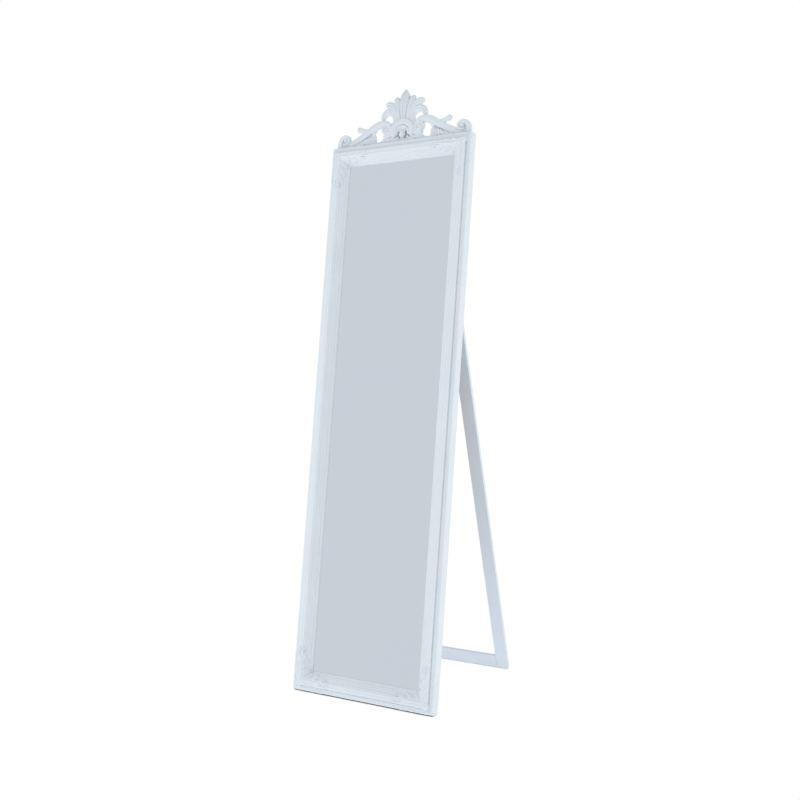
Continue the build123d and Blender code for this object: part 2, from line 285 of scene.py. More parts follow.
def fused(mesh: bpy.types.Mesh, voxel: float, relax: int) -> bpy.types.Mesh:
    """Melts overlapping shells into one cast body and softens its creases.

    Args:
        mesh: closed shells in millimetres.
        voxel: cell of the remesh.
        relax: rounds of smoothing.

    Returns:
        A new mesh.
    """
    stand = bpy.data.objects.new("fusing", mesh)
    bpy.context.scene.collection.objects.link(stand)
    cast = stand.modifiers.new("cast", "REMESH")
    cast.mode, cast.voxel_size, cast.adaptivity = "VOXEL", voxel, 0.0
    ease = stand.modifiers.new("ease", "SMOOTH")
    ease.factor, ease.iterations = 0.5, relax
    ready = stand.evaluated_get(bpy.context.evaluated_depsgraph_get())
    made = bpy.data.meshes.new_from_object(ready)
    bpy.data.objects.remove(stand)
    return made


# ------------------------------------------------------------------ where things are
@dataclass(frozen=True)
class FrameAxes:
    """The leaned frame's own axes within the row frame.

    A point (u, n, v) lies at x = u, y = y0 + v sin(tilt) - n cos(tilt) and
    z = z0 + v cos(tilt) + n sin(tilt).
    """

    width: float
    height: float
    tilt: float
    y0: float
    z0: float

    @classmethod
    def from_frame(cls, joints: Sequence[dict]) -> "FrameAxes":
        """Finds the axes from the glass, the stiles and the hinge pin.

        The lean is the one at which a leaning slab of the pane's thickness fills the
        glass's box.  The pin, whose n and v are known, then gives the origin.

        Args:
            joints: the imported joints.

        Returns:
            The frame's axes.
        """
        low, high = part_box("mirror_glass")
        size = (high - low) / MM
        tilt = math.atan2(size.y, size.z)
        for _ in range(20):
            lean = size.y - GLASS_THICK * math.cos(tilt), size.z - GLASS_THICK * math.sin(tilt)
            tilt = math.atan2(*lean)
        pin = next(j["pos_m"] for j in joints if j["name"] == "easel_hinge")
        s, c = math.sin(tilt), math.cos(tilt)
        y0 = pin[1] / MM - PIN_UP * s + PIN_OUT * c
        z0 = pin[2] / MM - PIN_UP * c - PIN_OUT * s
        width = (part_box("right_stile")[1].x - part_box("left_stile")[0].x) / MM
        glass = size.y * s + size.z * c - GLASS_THICK * 2 * s * c
        return cls(width, round(glass + 2 * GLASS_INSET, 1), tilt, y0, z0)

    def place(self, u: np.ndarray, n: np.ndarray, v: np.ndarray) -> np.ndarray:
        """Carries points of the frame's axes to the row frame, none of them under the floor.

        Args:
            u: across the frame, in millimetres.
            n: out of the back plane.
            v: up the frame.

        Returns:
            (..., 3) points in metres.
        """
        s, c = math.sin(self.tilt), math.cos(self.tilt)
        y = self.y0 + v * s - n * c
        z = np.maximum(self.z0 + v * c + n * s, 0.0)
        return np.stack(np.broadcast_arrays(u, y, z), -1) * MM

    def settle(self, points: np.ndarray) -> np.ndarray:
        """The same for an array of (u, n, v) rows."""
        return self.place(points[:, 0], points[:, 1], points[:, 2])


# ------------------------------------------------------------------ node helpers
class Slot(Enum):
    """The record's material slots."""

    MOULDING = "painted_moulding"
    CARVING = "painted_carving"
    EASEL = "painted_easel"
    GLASS = "mirror_glass"
    CUSHION = "cushion"
    BOARD = "back_board"
    PLATE = "steel_plate"
    SCREW = "screw_steel"
    BRASS = "hinge_brass"
    PIN = "hinge_pin"
    BRASS_SCREW = "screw_brass"
    DOWEL = "dowel_wood"


class Nodes:
    """Adds and links nodes in one tree."""

    def __init__(self, tree: Tree) -> None:
        """Starts on an empty tree."""
        self.tree = tree
        tree.nodes.clear()

    def add(self, kind: str, settings: dict | None = None, **sockets: object) -> bpy.types.Node:
        """Adds a node.

        Args:
            kind: node type without its ShaderNode or NodeGroup prefix.
            settings: attributes of the node.
            **sockets: values or output sockets for its inputs, with spaces as underscores.

        Returns:
            The node.
        """
        full = kind if kind.startswith("NodeGroup") else "ShaderNode" + kind
        node = self.tree.nodes.new(full)
        for name, value in (settings or {}).items():
            setattr(node, name, value)
        for name, value in sockets.items():
            self.feed(node.inputs[self.socket(node, name)], value)
        return node

    @staticmethod
    def socket(node: bpy.types.Node, name: str) -> int:
        """Finds an input.

        Args:
            node: the node.
            name: the input's name, or input_0, input_1 and so on for its place.

        Returns:
            Its index.
        """
        if name.startswith("input_"):
            return int(name[6:])
        wanted = name.replace("_", " ").lower()
        return next(i for i, s in enumerate(node.inputs) if s.enabled and s.name.lower() == wanted)

    def feed(self, target: bpy.types.NodeSocket, value: object) -> None:
        """Feeds an input.

        Args:
            target: the input.
            value: an output socket to link, or a value to set.
        """
        if isinstance(value, bpy.types.NodeSocket):
            self.tree.links.new(value, target)
        elif isinstance(value, tuple) and len(value) == 3 and target.type == "RGBA":
            target.default_value = (*value, 1.0)
        else:
            target.default_value = value

    def mix(self, factor: object, a: object, b: object) -> Socket:
        """Mixes two colours.

        Args:
            factor: share of b.
            a: first colour.
            b: second colour.

        Returns:
            The mixed colour.
        """
        node = self.add("Mix", {"data_type": "RGBA"}, Factor=factor)
        ends = [s for s in node.inputs if s.type == "RGBA"]
        self.feed(ends[0], a)
        self.feed(ends[1], b)
        return next(s for s in node.outputs if s.type == "RGBA")

    def ramp(self, value: object, low: float, high: float, to_low: float = 0.0,
             to_high: float = 1.0) -> Socket:
        """Maps a value from one range to another along an S curve, held at both ends.

        Args:
            value: the value.
            low: start of its range.
            high: end of its range.
            to_low: what the start becomes.
            to_high: what the end becomes.

        Returns:
            The new value.
        """
        node = self.add("MapRange", {"interpolation_type": "SMOOTHSTEP"}, Value=value, From_Min=low,
                        From_Max=high, To_Min=to_low, To_Max=to_high)
        return node.outputs[0]

    def maths(self, operation: str, a: object, b: object = 0.0) -> Socket:
        """One arithmetic node."""
        return self.add("Math", {"operation": operation}, input_0=a, input_1=b).outputs[0]

    def group(self, tree: Tree, **sockets: object) -> bpy.types.Node:
        """Places a node group.

        Args:
            tree: the group.
            **sockets: values or output sockets for its inputs, with spaces as underscores.

        Returns:
            The group's node.
        """
        node = self.add("Group", {"node_tree": tree})
        for name, value in sockets.items():
            self.feed(node.inputs[name.replace("_", " ")], value)
        return node


def new_group(name: str, inputs: dict[str, tuple[str, object]],
              outputs: dict[str, str]) -> tuple[Tree, Nodes, bpy.types.Node, bpy.types.Node]:
    """Makes an empty shader node group with named sockets.

    Args:
        name: name of the group.
        inputs: socket name to (kind, default), where kind is Float, Vector or Color.
        outputs: socket name to kind.

    Returns:
        The tree, its helper, its input node and its output node.
    """
    tree = bpy.data.node_groups.new(name, "ShaderNodeTree")
    nodes = Nodes(tree)
    for label, (kind, default) in inputs.items():
        made = tree.interface.new_socket(label, in_out="INPUT", socket_type="NodeSocket" + kind)
        if default is not None:
            made.default_value = default
    for label, kind in outputs.items():
        tree.interface.new_socket(label, in_out="OUTPUT", socket_type="NodeSocket" + kind)
    return tree, nodes, nodes.add("NodeGroupInput"), nodes.add("NodeGroupOutput")


class Effects:
    """The node groups that more than one finish uses, each built once."""

    def __init__(self) -> None:
        """Builds the groups."""
        self.drift = self.build_drift()
        self.strokes = self.build_strokes()
        self.painted_crevice_shade = self.build_painted_crevice_shade()
        self.specks = self.build_specks()

    @staticmethod
    def build_drift() -> Tree:
        """Slow change of colour over the surface, as between one spray pass and the next.

        Returns:
            The group.
        """
        tree, nodes, inlet, outlet = new_group(
            "colour drift",
            {"Vector": ("Vector", None), "Colour": ("Color", (1, 1, 1, 1)),
             "Shade": ("Color", (0.9, 0.9, 0.9, 1)), "Scale": ("Float", 6.0), "Amount": ("Float", 0.5)},
            {"Colour": "Color", "Mask": "Float"})
        cloud = nodes.add("TexNoise", Vector=inlet.outputs["Vector"], Scale=inlet.outputs["Scale"],
                          Detail=3.0, Roughness=0.55)
        mask = nodes.maths("MULTIPLY", nodes.ramp(cloud.outputs[0], 0.35, 0.7), inlet.outputs["Amount"])
        nodes.feed(outlet.inputs["Colour"], nodes.mix(mask, inlet.outputs["Colour"], inlet.outputs["Shade"]))
        nodes.feed(outlet.inputs["Mask"], mask)
        return tree

    @staticmethod
    def build_strokes() -> Tree:
        """Long fine strokes along one axis, from the brush or from the wood under the paint.

        Returns:
            The group.
        """
        tree, nodes, inlet, outlet = new_group(
            "strokes",
            {"Vector": ("Vector", None), "Stretch": ("Vector", (1.0, 1.0, 0.05)), "Scale": ("Float", 900.0),
             "Detail": ("Float", 4.0)},
            {"Height": "Float", "Mask": "Float"})
        long = nodes.add("VectorMath", {"operation": "MULTIPLY"}, input_0=inlet.outputs["Vector"],
                         input_1=inlet.outputs["Stretch"])
        hair = nodes.add("TexNoise", Vector=long.outputs[0], Scale=inlet.outputs["Scale"],
                         Detail=inlet.outputs["Detail"], Roughness=0.6)
        nodes.feed(outlet.inputs["Height"], hair.outputs[0])
        nodes.feed(outlet.inputs["Mask"], nodes.ramp(hair.outputs[0], 0.4, 0.75))
        return tree

    @staticmethod
    def build_painted_crevice_shade() -> Tree:
        """How deep a spot lies between its neighbours, from ambient occlusion: the mask by which the paints
        paint shade into recesses.

        Returns:
            The group.
        """
        tree, nodes, inlet, outlet = new_group(
            "painted_crevice_shade", {"Distance": ("Float", 0.008), "Strength": ("Float", 1.0)}, {"Mask": "Float"})
        near = nodes.add("AmbientOcclusion", {"samples": 6, "only_local": False},
                         Distance=inlet.outputs["Distance"])
        shade_mask = nodes.ramp(near.outputs["AO"], 0.75, 0.12)
        nodes.feed(outlet.inputs["Mask"], nodes.maths("MULTIPLY", shade_mask, inlet.outputs["Strength"]))
        return tree

    @staticmethod
    def build_specks() -> Tree:
        """Scattered small spots, for plating bloom, board fibres and grit.

        Returns:
            The group.
        """
        tree, nodes, inlet, outlet = new_group(
            "specks", {"Vector": ("Vector", None), "Scale": ("Float", 400.0), "Size": ("Float", 0.12)},
            {"Mask": "Float"})
        cells = nodes.add("TexVoronoi", {"feature": "F1"}, Vector=inlet.outputs["Vector"],
                          Scale=inlet.outputs["Scale"], Randomness=1.0)
        size = nodes.maths("MULTIPLY", inlet.outputs["Size"], 2.0)
        near = nodes.add("MapRange", {"interpolation_type": "SMOOTHSTEP"}, Value=cells.outputs["Distance"],
                         From_Min=size, From_Max=0.0, To_Min=0.0, To_Max=1.0)
        nodes.feed(outlet.inputs["Mask"], near.outputs[0])
        return tree


# ------------------------------------------------------------------ finishes
@dataclass(frozen=True)
class Finish:
    """A finish: its colour, the shade it drifts to, its roughness range, and the drift's scale and amount."""

    name: str
    colour: Colour
    shade: Colour
    rough: Point = (0.35, 0.5)
    drift: Point = (9.0, 0.55)

    def start(self) -> tuple[bpy.types.Material, Nodes, bpy.types.Node, Socket]:
        """Makes the material with its shader.

        Returns:
            The material, its helper, its shader and its Object coordinates.
        """
        made = bpy.data.materials.new(self.name)
        made.use_nodes = True
        nodes = Nodes(made.node_tree)
        shader = nodes.add("BsdfPrincipled")
        nodes.add("OutputMaterial", Surface=shader.outputs[0])
        return made, nodes, shader, nodes.add("TexCoord").outputs["Object"]

    def toned(self, nodes: Nodes, effects: Effects, where: Socket) -> bpy.types.Node:
        """Places the slow drift between the finish's colour and its shade.

        Args:
            nodes: the material's helper.
            effects: the shared groups.
            where: coordinates.

        Returns:
            The group's node.
        """
        scale, amount = self.drift
        return nodes.group(effects.drift, Vector=where, Colour=self.colour, Shade=self.shade, Scale=scale,
                           Amount=amount)

    @staticmethod
    def bump(nodes: Nodes, height: object, depth: float, under: object = None) -> Socket:
        """Makes a height into a normal.

        Args:
            nodes: the material's helper.
            height: height from 0 to 1.
            depth: depth of a height of 1, in metres.
            under: normal that it lies on, if not the surface's own.

        Returns:
            The normal.
        """
        node = nodes.add("Bump", Strength=1.0, Distance=depth, Height=height)
        if under is not None:
            nodes.feed(node.inputs["Normal"], under)
        return node.outputs[0]


@dataclass(frozen=True)
class SatinPaint(Finish):
    """Sprayed satin paint: strokes under it, a slow drift of tone, and painted shade, a darker colour mixed
    in by ambient occlusion, where it lies deep.

    peel is the scale and depth of the faint orange peel that spraying leaves.
    """

    # colour of the painted shade in recesses
    painted_shade_colour: Colour = (0.5, 0.53, 0.58)
    stretch: Triple = (1.0, 1.0, 0.04)
    stroke_scale: float = 700.0
    stroke_depth: float = 0.00006
    painted_crevice_shade: float = 0.0
    reach: float = 0.006
    coat: Point = (0.12, 0.22)
    streak: float = 0.3
    peel: Point = (520.0, 0.00004)

    def material(self, effects: Effects) -> bpy.types.Material:
        """Builds the paint.

        Args:
            effects: the shared groups.

        Returns:
            The material.
        """
        made, nodes, shader, where = self.start()
        drift = self.toned(nodes, effects, where)
        strokes = nodes.group(effects.strokes, Vector=where, Stretch=self.stretch, Scale=self.stroke_scale)
        streaks = nodes.maths("MULTIPLY", strokes.outputs["Mask"], self.streak)
        tone = nodes.mix(streaks, drift.outputs["Colour"], self.shade)
        # painted shade: recesses darkened towards a grey-blue colour by ambient occlusion
        if self.painted_crevice_shade:
            deep = nodes.group(effects.painted_crevice_shade, Distance=self.reach, Strength=self.painted_crevice_shade)
            tone = nodes.mix(deep.outputs["Mask"], tone, self.painted_shade_colour)
        nodes.feed(shader.inputs["Base Color"], tone)
        nodes.feed(shader.inputs["Roughness"], nodes.ramp(strokes.outputs["Height"], 0.3, 0.7, *self.rough))
        peel = nodes.add("TexNoise", Vector=where, Scale=self.peel[0], Detail=2.0)
        skin = self.bump(nodes, peel.outputs[0], self.peel[1])
        normal = self.bump(nodes, strokes.outputs["Height"], self.stroke_depth, under=skin)
        nodes.feed(shader.inputs["Normal"], normal)
        shader.inputs["Coat Weight"].default_value, shader.inputs["Coat Roughness"].default_value = self.coat
        return made


@dataclass(frozen=True)
class Silvering(Finish):
    """The silvered side of the pane, with a slow drift in its tint and its polish."""

    drift: Point = (2.5, 0.5)

    def material(self, effects: Effects) -> bpy.types.Material:
        """Builds the mirror.

        Args:
            effects: the shared groups.

        Returns:
            The material.
        """
        made, nodes, shader, where = self.start()
        drift = self.toned(nodes, effects, where)
        nodes.feed(shader.inputs["Base Color"], drift.outputs["Colour"])
        polish = nodes.ramp(drift.outputs["Mask"], 0.0, self.drift[1], *self.rough)
        nodes.feed(shader.inputs["Roughness"], polish)
        shader.inputs["Metallic"].default_value = 1.0
        return made


@dataclass(frozen=True)
class Metal(Finish):
    """Plated or rolled metal with fine drawing lines, and bloom given as scale, spot size and share."""

    drift: Point = (60.0, 0.9)
    stretch: Triple = (1.0, 1.0, 1.0)
    lines: Point = (1500.0, 0.00002)
    bloom: Triple = (900.0, 0.16, 0.35)

    def material(self, effects: Effects) -> bpy.types.Material:
        """Builds the metal.

        Args:
            effects: the shared groups.

        Returns:
            The material.
        """
        made, nodes, shader, where = self.start()
        drift = self.toned(nodes, effects, where)
        lines = nodes.group(effects.strokes, Vector=where, Stretch=self.stretch, Scale=self.lines[0])
        bloom = nodes.group(effects.specks, Vector=where, Scale=self.bloom[0], Size=self.bloom[1])
        spots = nodes.maths("MULTIPLY", bloom.outputs["Mask"], self.bloom[2])
        nodes.feed(shader.inputs["Base Color"], nodes.mix(spots, drift.outputs["Colour"], self.shade))
        nodes.feed(shader.inputs["Roughness"], nodes.ramp(lines.outputs["Height"], 0.25, 0.75, *self.rough))
        nodes.feed(shader.inputs["Normal"], self.bump(nodes, lines.outputs["Height"], self.lines[1]))
        shader.inputs["Metallic"].default_value = 1.0
        return made


@dataclass(frozen=True)
class Fibre(Finish):
    """Pressed board, foam sheet or bare wood: matt and fibrous, flecked by scale, spot size and share."""

    drift: Point = (14.0, 0.9)
    stretch: Triple = (1.0, 1.0, 0.35)
    scale: float = 260.0
    depth: float = 0.00012
    fleck: Colour = (0.1, 0.06, 0.03)
    flecks: Triple = (620.0, 0.14, 0.5)

    def material(self, effects: Effects) -> bpy.types.Material:
        """Builds the fibre finish.

        Args:
            effects: the shared groups.

        Returns:
            The material.
        """
        made, nodes, shader, where = self.start()
        drift = self.toned(nodes, effects, where)
        hair = nodes.group(effects.strokes, Vector=where, Stretch=self.stretch, Scale=self.scale)
        flecks = nodes.group(effects.specks, Vector=where, Scale=self.flecks[0], Size=self.flecks[1])
        tone = nodes.mix(hair.outputs["Mask"], drift.outputs["Colour"], self.shade)
        spots = nodes.maths("MULTIPLY", flecks.outputs["Mask"], self.flecks[2])
        nodes.feed(shader.inputs["Base Color"], nodes.mix(spots, tone, self.fleck))
        nodes.feed(shader.inputs["Roughness"], nodes.ramp(hair.outputs["Height"], 0.3, 0.7, *self.rough))
        nodes.feed(shader.inputs["Normal"], self.bump(nodes, hair.outputs["Height"], self.depth))
        return made


@dataclass(frozen=True)
class GroundEdge(Finish):
    """The ground edge of clear glass, with grit given as scale and spot size."""

    grit: Point = (2500.0, 0.2)

    def material(self, effects: Effects) -> bpy.types.Material:
        """Builds the edge.

        Args:
            effects: the shared groups.

        Returns:
            The material.
        """
        made, nodes, shader, where = self.start()
        grit = nodes.group(effects.specks, Vector=where, Scale=self.grit[0], Size=self.grit[1])
        nodes.feed(shader.inputs["Base Color"], nodes.mix(grit.outputs["Mask"], self.colour, self.shade))
        nodes.feed(shader.inputs["Roughness"], nodes.ramp(grit.outputs["Mask"], 0.0, 1.0, *self.rough))
        return made


class Palette:
    """Every finish of the mirror as a material, by the record's slot and for special faces."""

    def __init__(self) -> None:
        """Builds the materials."""
        effects = Effects()
        white, cool = (0.785, 0.838, 0.885), (0.745, 0.80, 0.85)
        # the moulding, carving and easel paints carry painted shade in their recesses, strongest on the
        # carving
        moulding = SatinPaint("satin white on moulding", white, cool, painted_crevice_shade=0.25, reach=0.009,
                              stretch=(1.0, 1.0, 0.035), stroke_scale=260.0, stroke_depth=0.0003, streak=0.6)
        carving = SatinPaint("satin white on carving", white, cool, (0.36, 0.5), painted_crevice_shade=1.0, reach=0.007,
                             stretch=(1.0, 1.0, 0.5), stroke_scale=420.0, stroke_depth=0.00005)
        finishes = {
            Slot.MOULDING: moulding,
            Slot.CARVING: carving,
            # the easel's white is bluer than the frame's: painted shade, the blue of the shadow the legs
            # stand in
            Slot.EASEL: SatinPaint("satin white on easel", (0.725, 0.801, 0.895), (0.685, 0.76, 0.855),
                                   (0.42, 0.58), stretch=(1.0, 1.0, 0.03), stroke_scale=520.0,
                                   stroke_depth=0.00012, painted_crevice_shade=0.3),
            Slot.GLASS: Silvering("silvered glass", (0.945, 0.955, 0.96), (0.935, 0.95, 0.955),
                                  (0.012, 0.022)),
            Slot.CUSHION: Fibre("foam sheet", (0.62, 0.62, 0.60), (0.5, 0.5, 0.49), (0.8, 0.95),
                                depth=0.0003, fleck=(0.4, 0.4, 0.4)),
            Slot.BOARD: Fibre("hardboard", (0.37, 0.25, 0.15), (0.28, 0.175, 0.10), (0.55, 0.75)),
            Slot.PLATE: Metal("zinc plate", (0.62, 0.64, 0.66), (0.44, 0.46, 0.47), (0.28, 0.5)),
            Slot.SCREW: Metal("zinc screws", (0.58, 0.59, 0.60), (0.36, 0.37, 0.38), (0.25, 0.42)),
            Slot.BRASS: Metal("rolled brass", (0.76, 0.55, 0.26), (0.52, 0.35, 0.15), (0.24, 0.42),
                              stretch=(0.04, 1.0, 1.0)),
            Slot.PIN: Metal("pin steel", (0.56, 0.56, 0.56), (0.38, 0.37, 0.36), (0.2, 0.35)),
            Slot.BRASS_SCREW: Metal("brass screws", (0.80, 0.60, 0.30), (0.5, 0.34, 0.15), (0.22, 0.38)),
            Slot.DOWEL: Fibre("beech", (0.60, 0.42, 0.26), (0.46, 0.30, 0.17), (0.5, 0.65),
                              stretch=(0.08, 1.0, 1.0), scale=900.0),
        }
        self.by_slot = {slot: finish.material(effects) for slot, finish in finishes.items()}
        level = replace(moulding, name="satin white on level moulding", stretch=(0.035, 1.0, 1.0))
        # the sprays' copy has darker, tighter painted shade in their grooves
        low = replace(carving, name="satin white on sprays", reach=0.0035, painted_shade_colour=(0.40, 0.44, 0.50))
        backing = Fibre("mirror backing paint", (0.16, 0.19, 0.21), (0.12, 0.14, 0.16), (0.45, 0.6),
                        fleck=(0.2, 0.23, 0.25), depth=0.00003)
        edge = GroundEdge("seamed glass edge", (0.20, 0.38, 0.34), (0.14, 0.28, 0.25), (0.35, 0.6))
        self.level_moulding = level.material(effects)
        self.spray = low.material(effects)
        self.backing = backing.material(effects)
        self.glass_edge = edge.material(effects)

    def dress(self, made: bpy.types.Object, slot: Slot) -> bpy.types.Object:
        """Gives a new piece the material of a slot.

        Args:
            made: the piece.
            slot: its slot.

        Returns:
            The piece.
        """
        made.data.materials.clear()
        made.data.materials.append(self.by_slot[slot])
        return made


# ------------------------------------------------------------------ the frame's mouldings
@dataclass
class Moulding:
    """The four mitred lengths of carved moulding.

    The section is worked out in (p, n): p inward from the outside edge and n out of
    the back.  It is carried along each side, and each end is cut where the distance
    from the corner equals p, which is the mitre.
    """

    axes: FrameAxes
    outside: tuple[Point, ...] = ((0, 0), (0, 25.0))
    shoulder: tuple[Point, ...] = ((0, 25.0), (0.9, 28), (3.4, 29))
    quirk: tuple[Point, ...] = ((12.6, 29.2), (13.3, 28.7), (13.8, 27.5), (15.2, 27.5), (15.6, 35.2))
    crown: tuple[Point, ...] = ((15.6, 35.4), (16.6, 36.9), (18.6, 37.3))
    slope: tuple[Point, ...] = ((18.6, 37.3), (26.6, 37.2), (33.2, 36.2), (38.2, 31.8), (42.0, 28.4),
                                (46.4, 24.6), (52.0, 18.9), (57.7, 13.0))
    rebate: tuple[Point, ...] = ((58.0, 12.7), (58.0, 12.0), (48.0, 12.0), (48.0, 0))
    reeds: int = 6
    reed_height: float = 0.9
    reed_points: int = 16
    grain: float = 0.3
    stations: int = 25

    def section(self) -> np.ndarray:
        """Outline of the section: side, shoulder, narrow quirk, step, crown, reeded slope, lip and rebate.

        The reeds are rectified sine waves raised along the slope's normal.

        Returns:
            (points, 2) rows of p and n.
        """
        share = np.linspace(0, 1, self.reed_points * self.reeds + 1)
        line = spline(np.array(self.slope), share)
        along = np.gradient(line, axis=0)
        out = np.stack([-along[:, 1], along[:, 0]], 1) / np.linalg.norm(along, axis=1, keepdims=True)
        round_up = np.abs(np.sin(share * self.reeds * math.pi)) * self.reed_height
        steps = [self.outside, arc(*self.shoulder), self.quirk, arc(*self.crown, count=8),
                 line + round_up[:, None] * out, self.rebate]
        return softened(np.vstack(steps), self.grain, self.grain)

    def length(self, name: str, span: float,
               turn: Callable[[np.ndarray, np.ndarray], tuple]) -> bpy.types.Object:
        """Carries the section from mitre to mitre.

        Args:
            name: name of the piece.
            span: outside length of this side.
            turn: gives (u, v) for a place along the side and a distance p inward.

        Returns:
            The piece.
        """
        p, n = self.section().T[:, None, :]
        share = np.linspace(-1, 1, self.stations)[:, None]
        u, v = turn(share * (span / 2 - p), p)
        skin = Skin()
        skin.add_rings(self.axes.place(u, n + 0 * share, v))
        return piece(name, skin.mesh(name))

    def build(self, palette: Palette) -> list[bpy.types.Object]:
        """Makes the two rails and the two stiles.

        Args:
            palette: the materials.

        Returns:
            The four pieces.
        """
        w, h = self.axes.width, self.axes.height
        sides = {
            "bottom_rail": (w, lambda a, p: (a, p + 0 * a)),
            "top_rail": (w, lambda a, p: (a, h - p + 0 * a)),
            "left_stile": (h, lambda a, p: (p - w / 2 + 0 * a, a + h / 2)),
            "right_stile": (h, lambda a, p: (w / 2 - p + 0 * a, a + h / 2)),
        }
        made = []
        for node, (span, turn) in sides.items():
            side = self.length(node + "_moulding", span, turn)
            palette.dress(side, Slot.MOULDING)
            if node.endswith("rail"):
                side.data.materials[0] = palette.level_moulding
            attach(side, "frame")
            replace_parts(side, node)
            made.append(side)
        return made


# ------------------------------------------------------------------ carved leaves
@dataclass(frozen=True)
class Leaf:
    """One carved leaf or band.

    Its stations are rows of (x, y, half width, crown height) along its middle line.
    Across it, the height arches from the rim to the crown, less the flutes, which are
    even waves from one side to the other.  Ripples are even waves along it that narrow
    it and lower its crown.  Both ends are rounded over a share of the length, as a
    quarter circle rounds them.
    """

    stations: tuple[Station, ...]
    rim: float = 10.0
    back: float = 10.0
    flutes: int = 0
    flute_depth: float = 0.0
    root: float = 0.03
    tip: float = 0.15
    bulge: float = 0.7
    ripples: int = 0
    ripple_depth: float = 0.0
    lengthwise: int = 64
    across: int = 26

    def rings(self) -> tuple[np.ndarray, np.ndarray, np.ndarray]:
        """Works out the leaf's surface as rings, each over the top and back along the flat underside.

        Returns:
            Arrays (lengthwise, points round) of x, of y and of height.
        """
        share = (1 - np.cos(np.linspace(0, math.pi, self.lengthwise))) / 2
        rows = spline(np.array(self.stations, float), share)
        along = np.gradient(rows[:, :2], axis=0)
        along /= np.linalg.norm(along, axis=1, keepdims=True)
        ends = np.minimum(share / self.root, 1) - 1, np.minimum((1 - share) / self.tip, 1) - 1
        ease = np.sqrt(1 - ends[0] ** 2) * np.sqrt(1 - ends[1] ** 2)
        ease = np.maximum(ease, END_SHARE)[:, None]
        wave = (0.5 - 0.5 * np.cos(math.tau * self.ripples * share))[:, None]
        half = (np.maximum(rows[:, 2:3], MIN_HALF) - 0.5 * self.ripple_depth * wave) * ease
        turn = np.linspace(-math.pi / 2, math.pi / 2, self.across)[None]
        side = np.sin(turn)
        arch = np.cos(turn).clip(0) ** self.bulge
        groove = (0.5 - 0.5 * np.cos(math.pi * self.flutes * (side + 1))) * self.flute_depth * ease
        rise = (rows[:, 3:4] - self.rim) * arch - self.ripple_depth * wave * arch
        top = np.maximum(self.rim + rise * ease**END_FALL - groove, self.back + MIN_EDGE)
        under = np.linspace(1, -1, UNDERSIDE)[None]
        offset = np.concatenate([half * side, half * under], 1)
        height = np.concatenate([top, np.full((self.lengthwise, UNDERSIDE), self.back)], 1)
        return rows[:, 0:1] - along[:, 1:2] * offset, rows[:, 1:2] + along[:, 0:1] * offset, height


def arch_band(radius: float, half: float, crown: float, start: float, stop: float,
              centre: float) -> tuple[Station, ...]:
    """Stations of a band bent round a circle.

    Args:
        radius: radius of its middle line.
        half: half width.
        crown: crown height.
        start: first angle in degrees, from the right.
        stop: last angle.
        centre: height of the circle's centre.

    Returns:
        Stations for a Leaf.
    """
    angle = np.radians(np.linspace(start, stop, 13))
    return tuple((radius * math.cos(a), centre + radius * math.sin(a), half, crown) for a in angle)


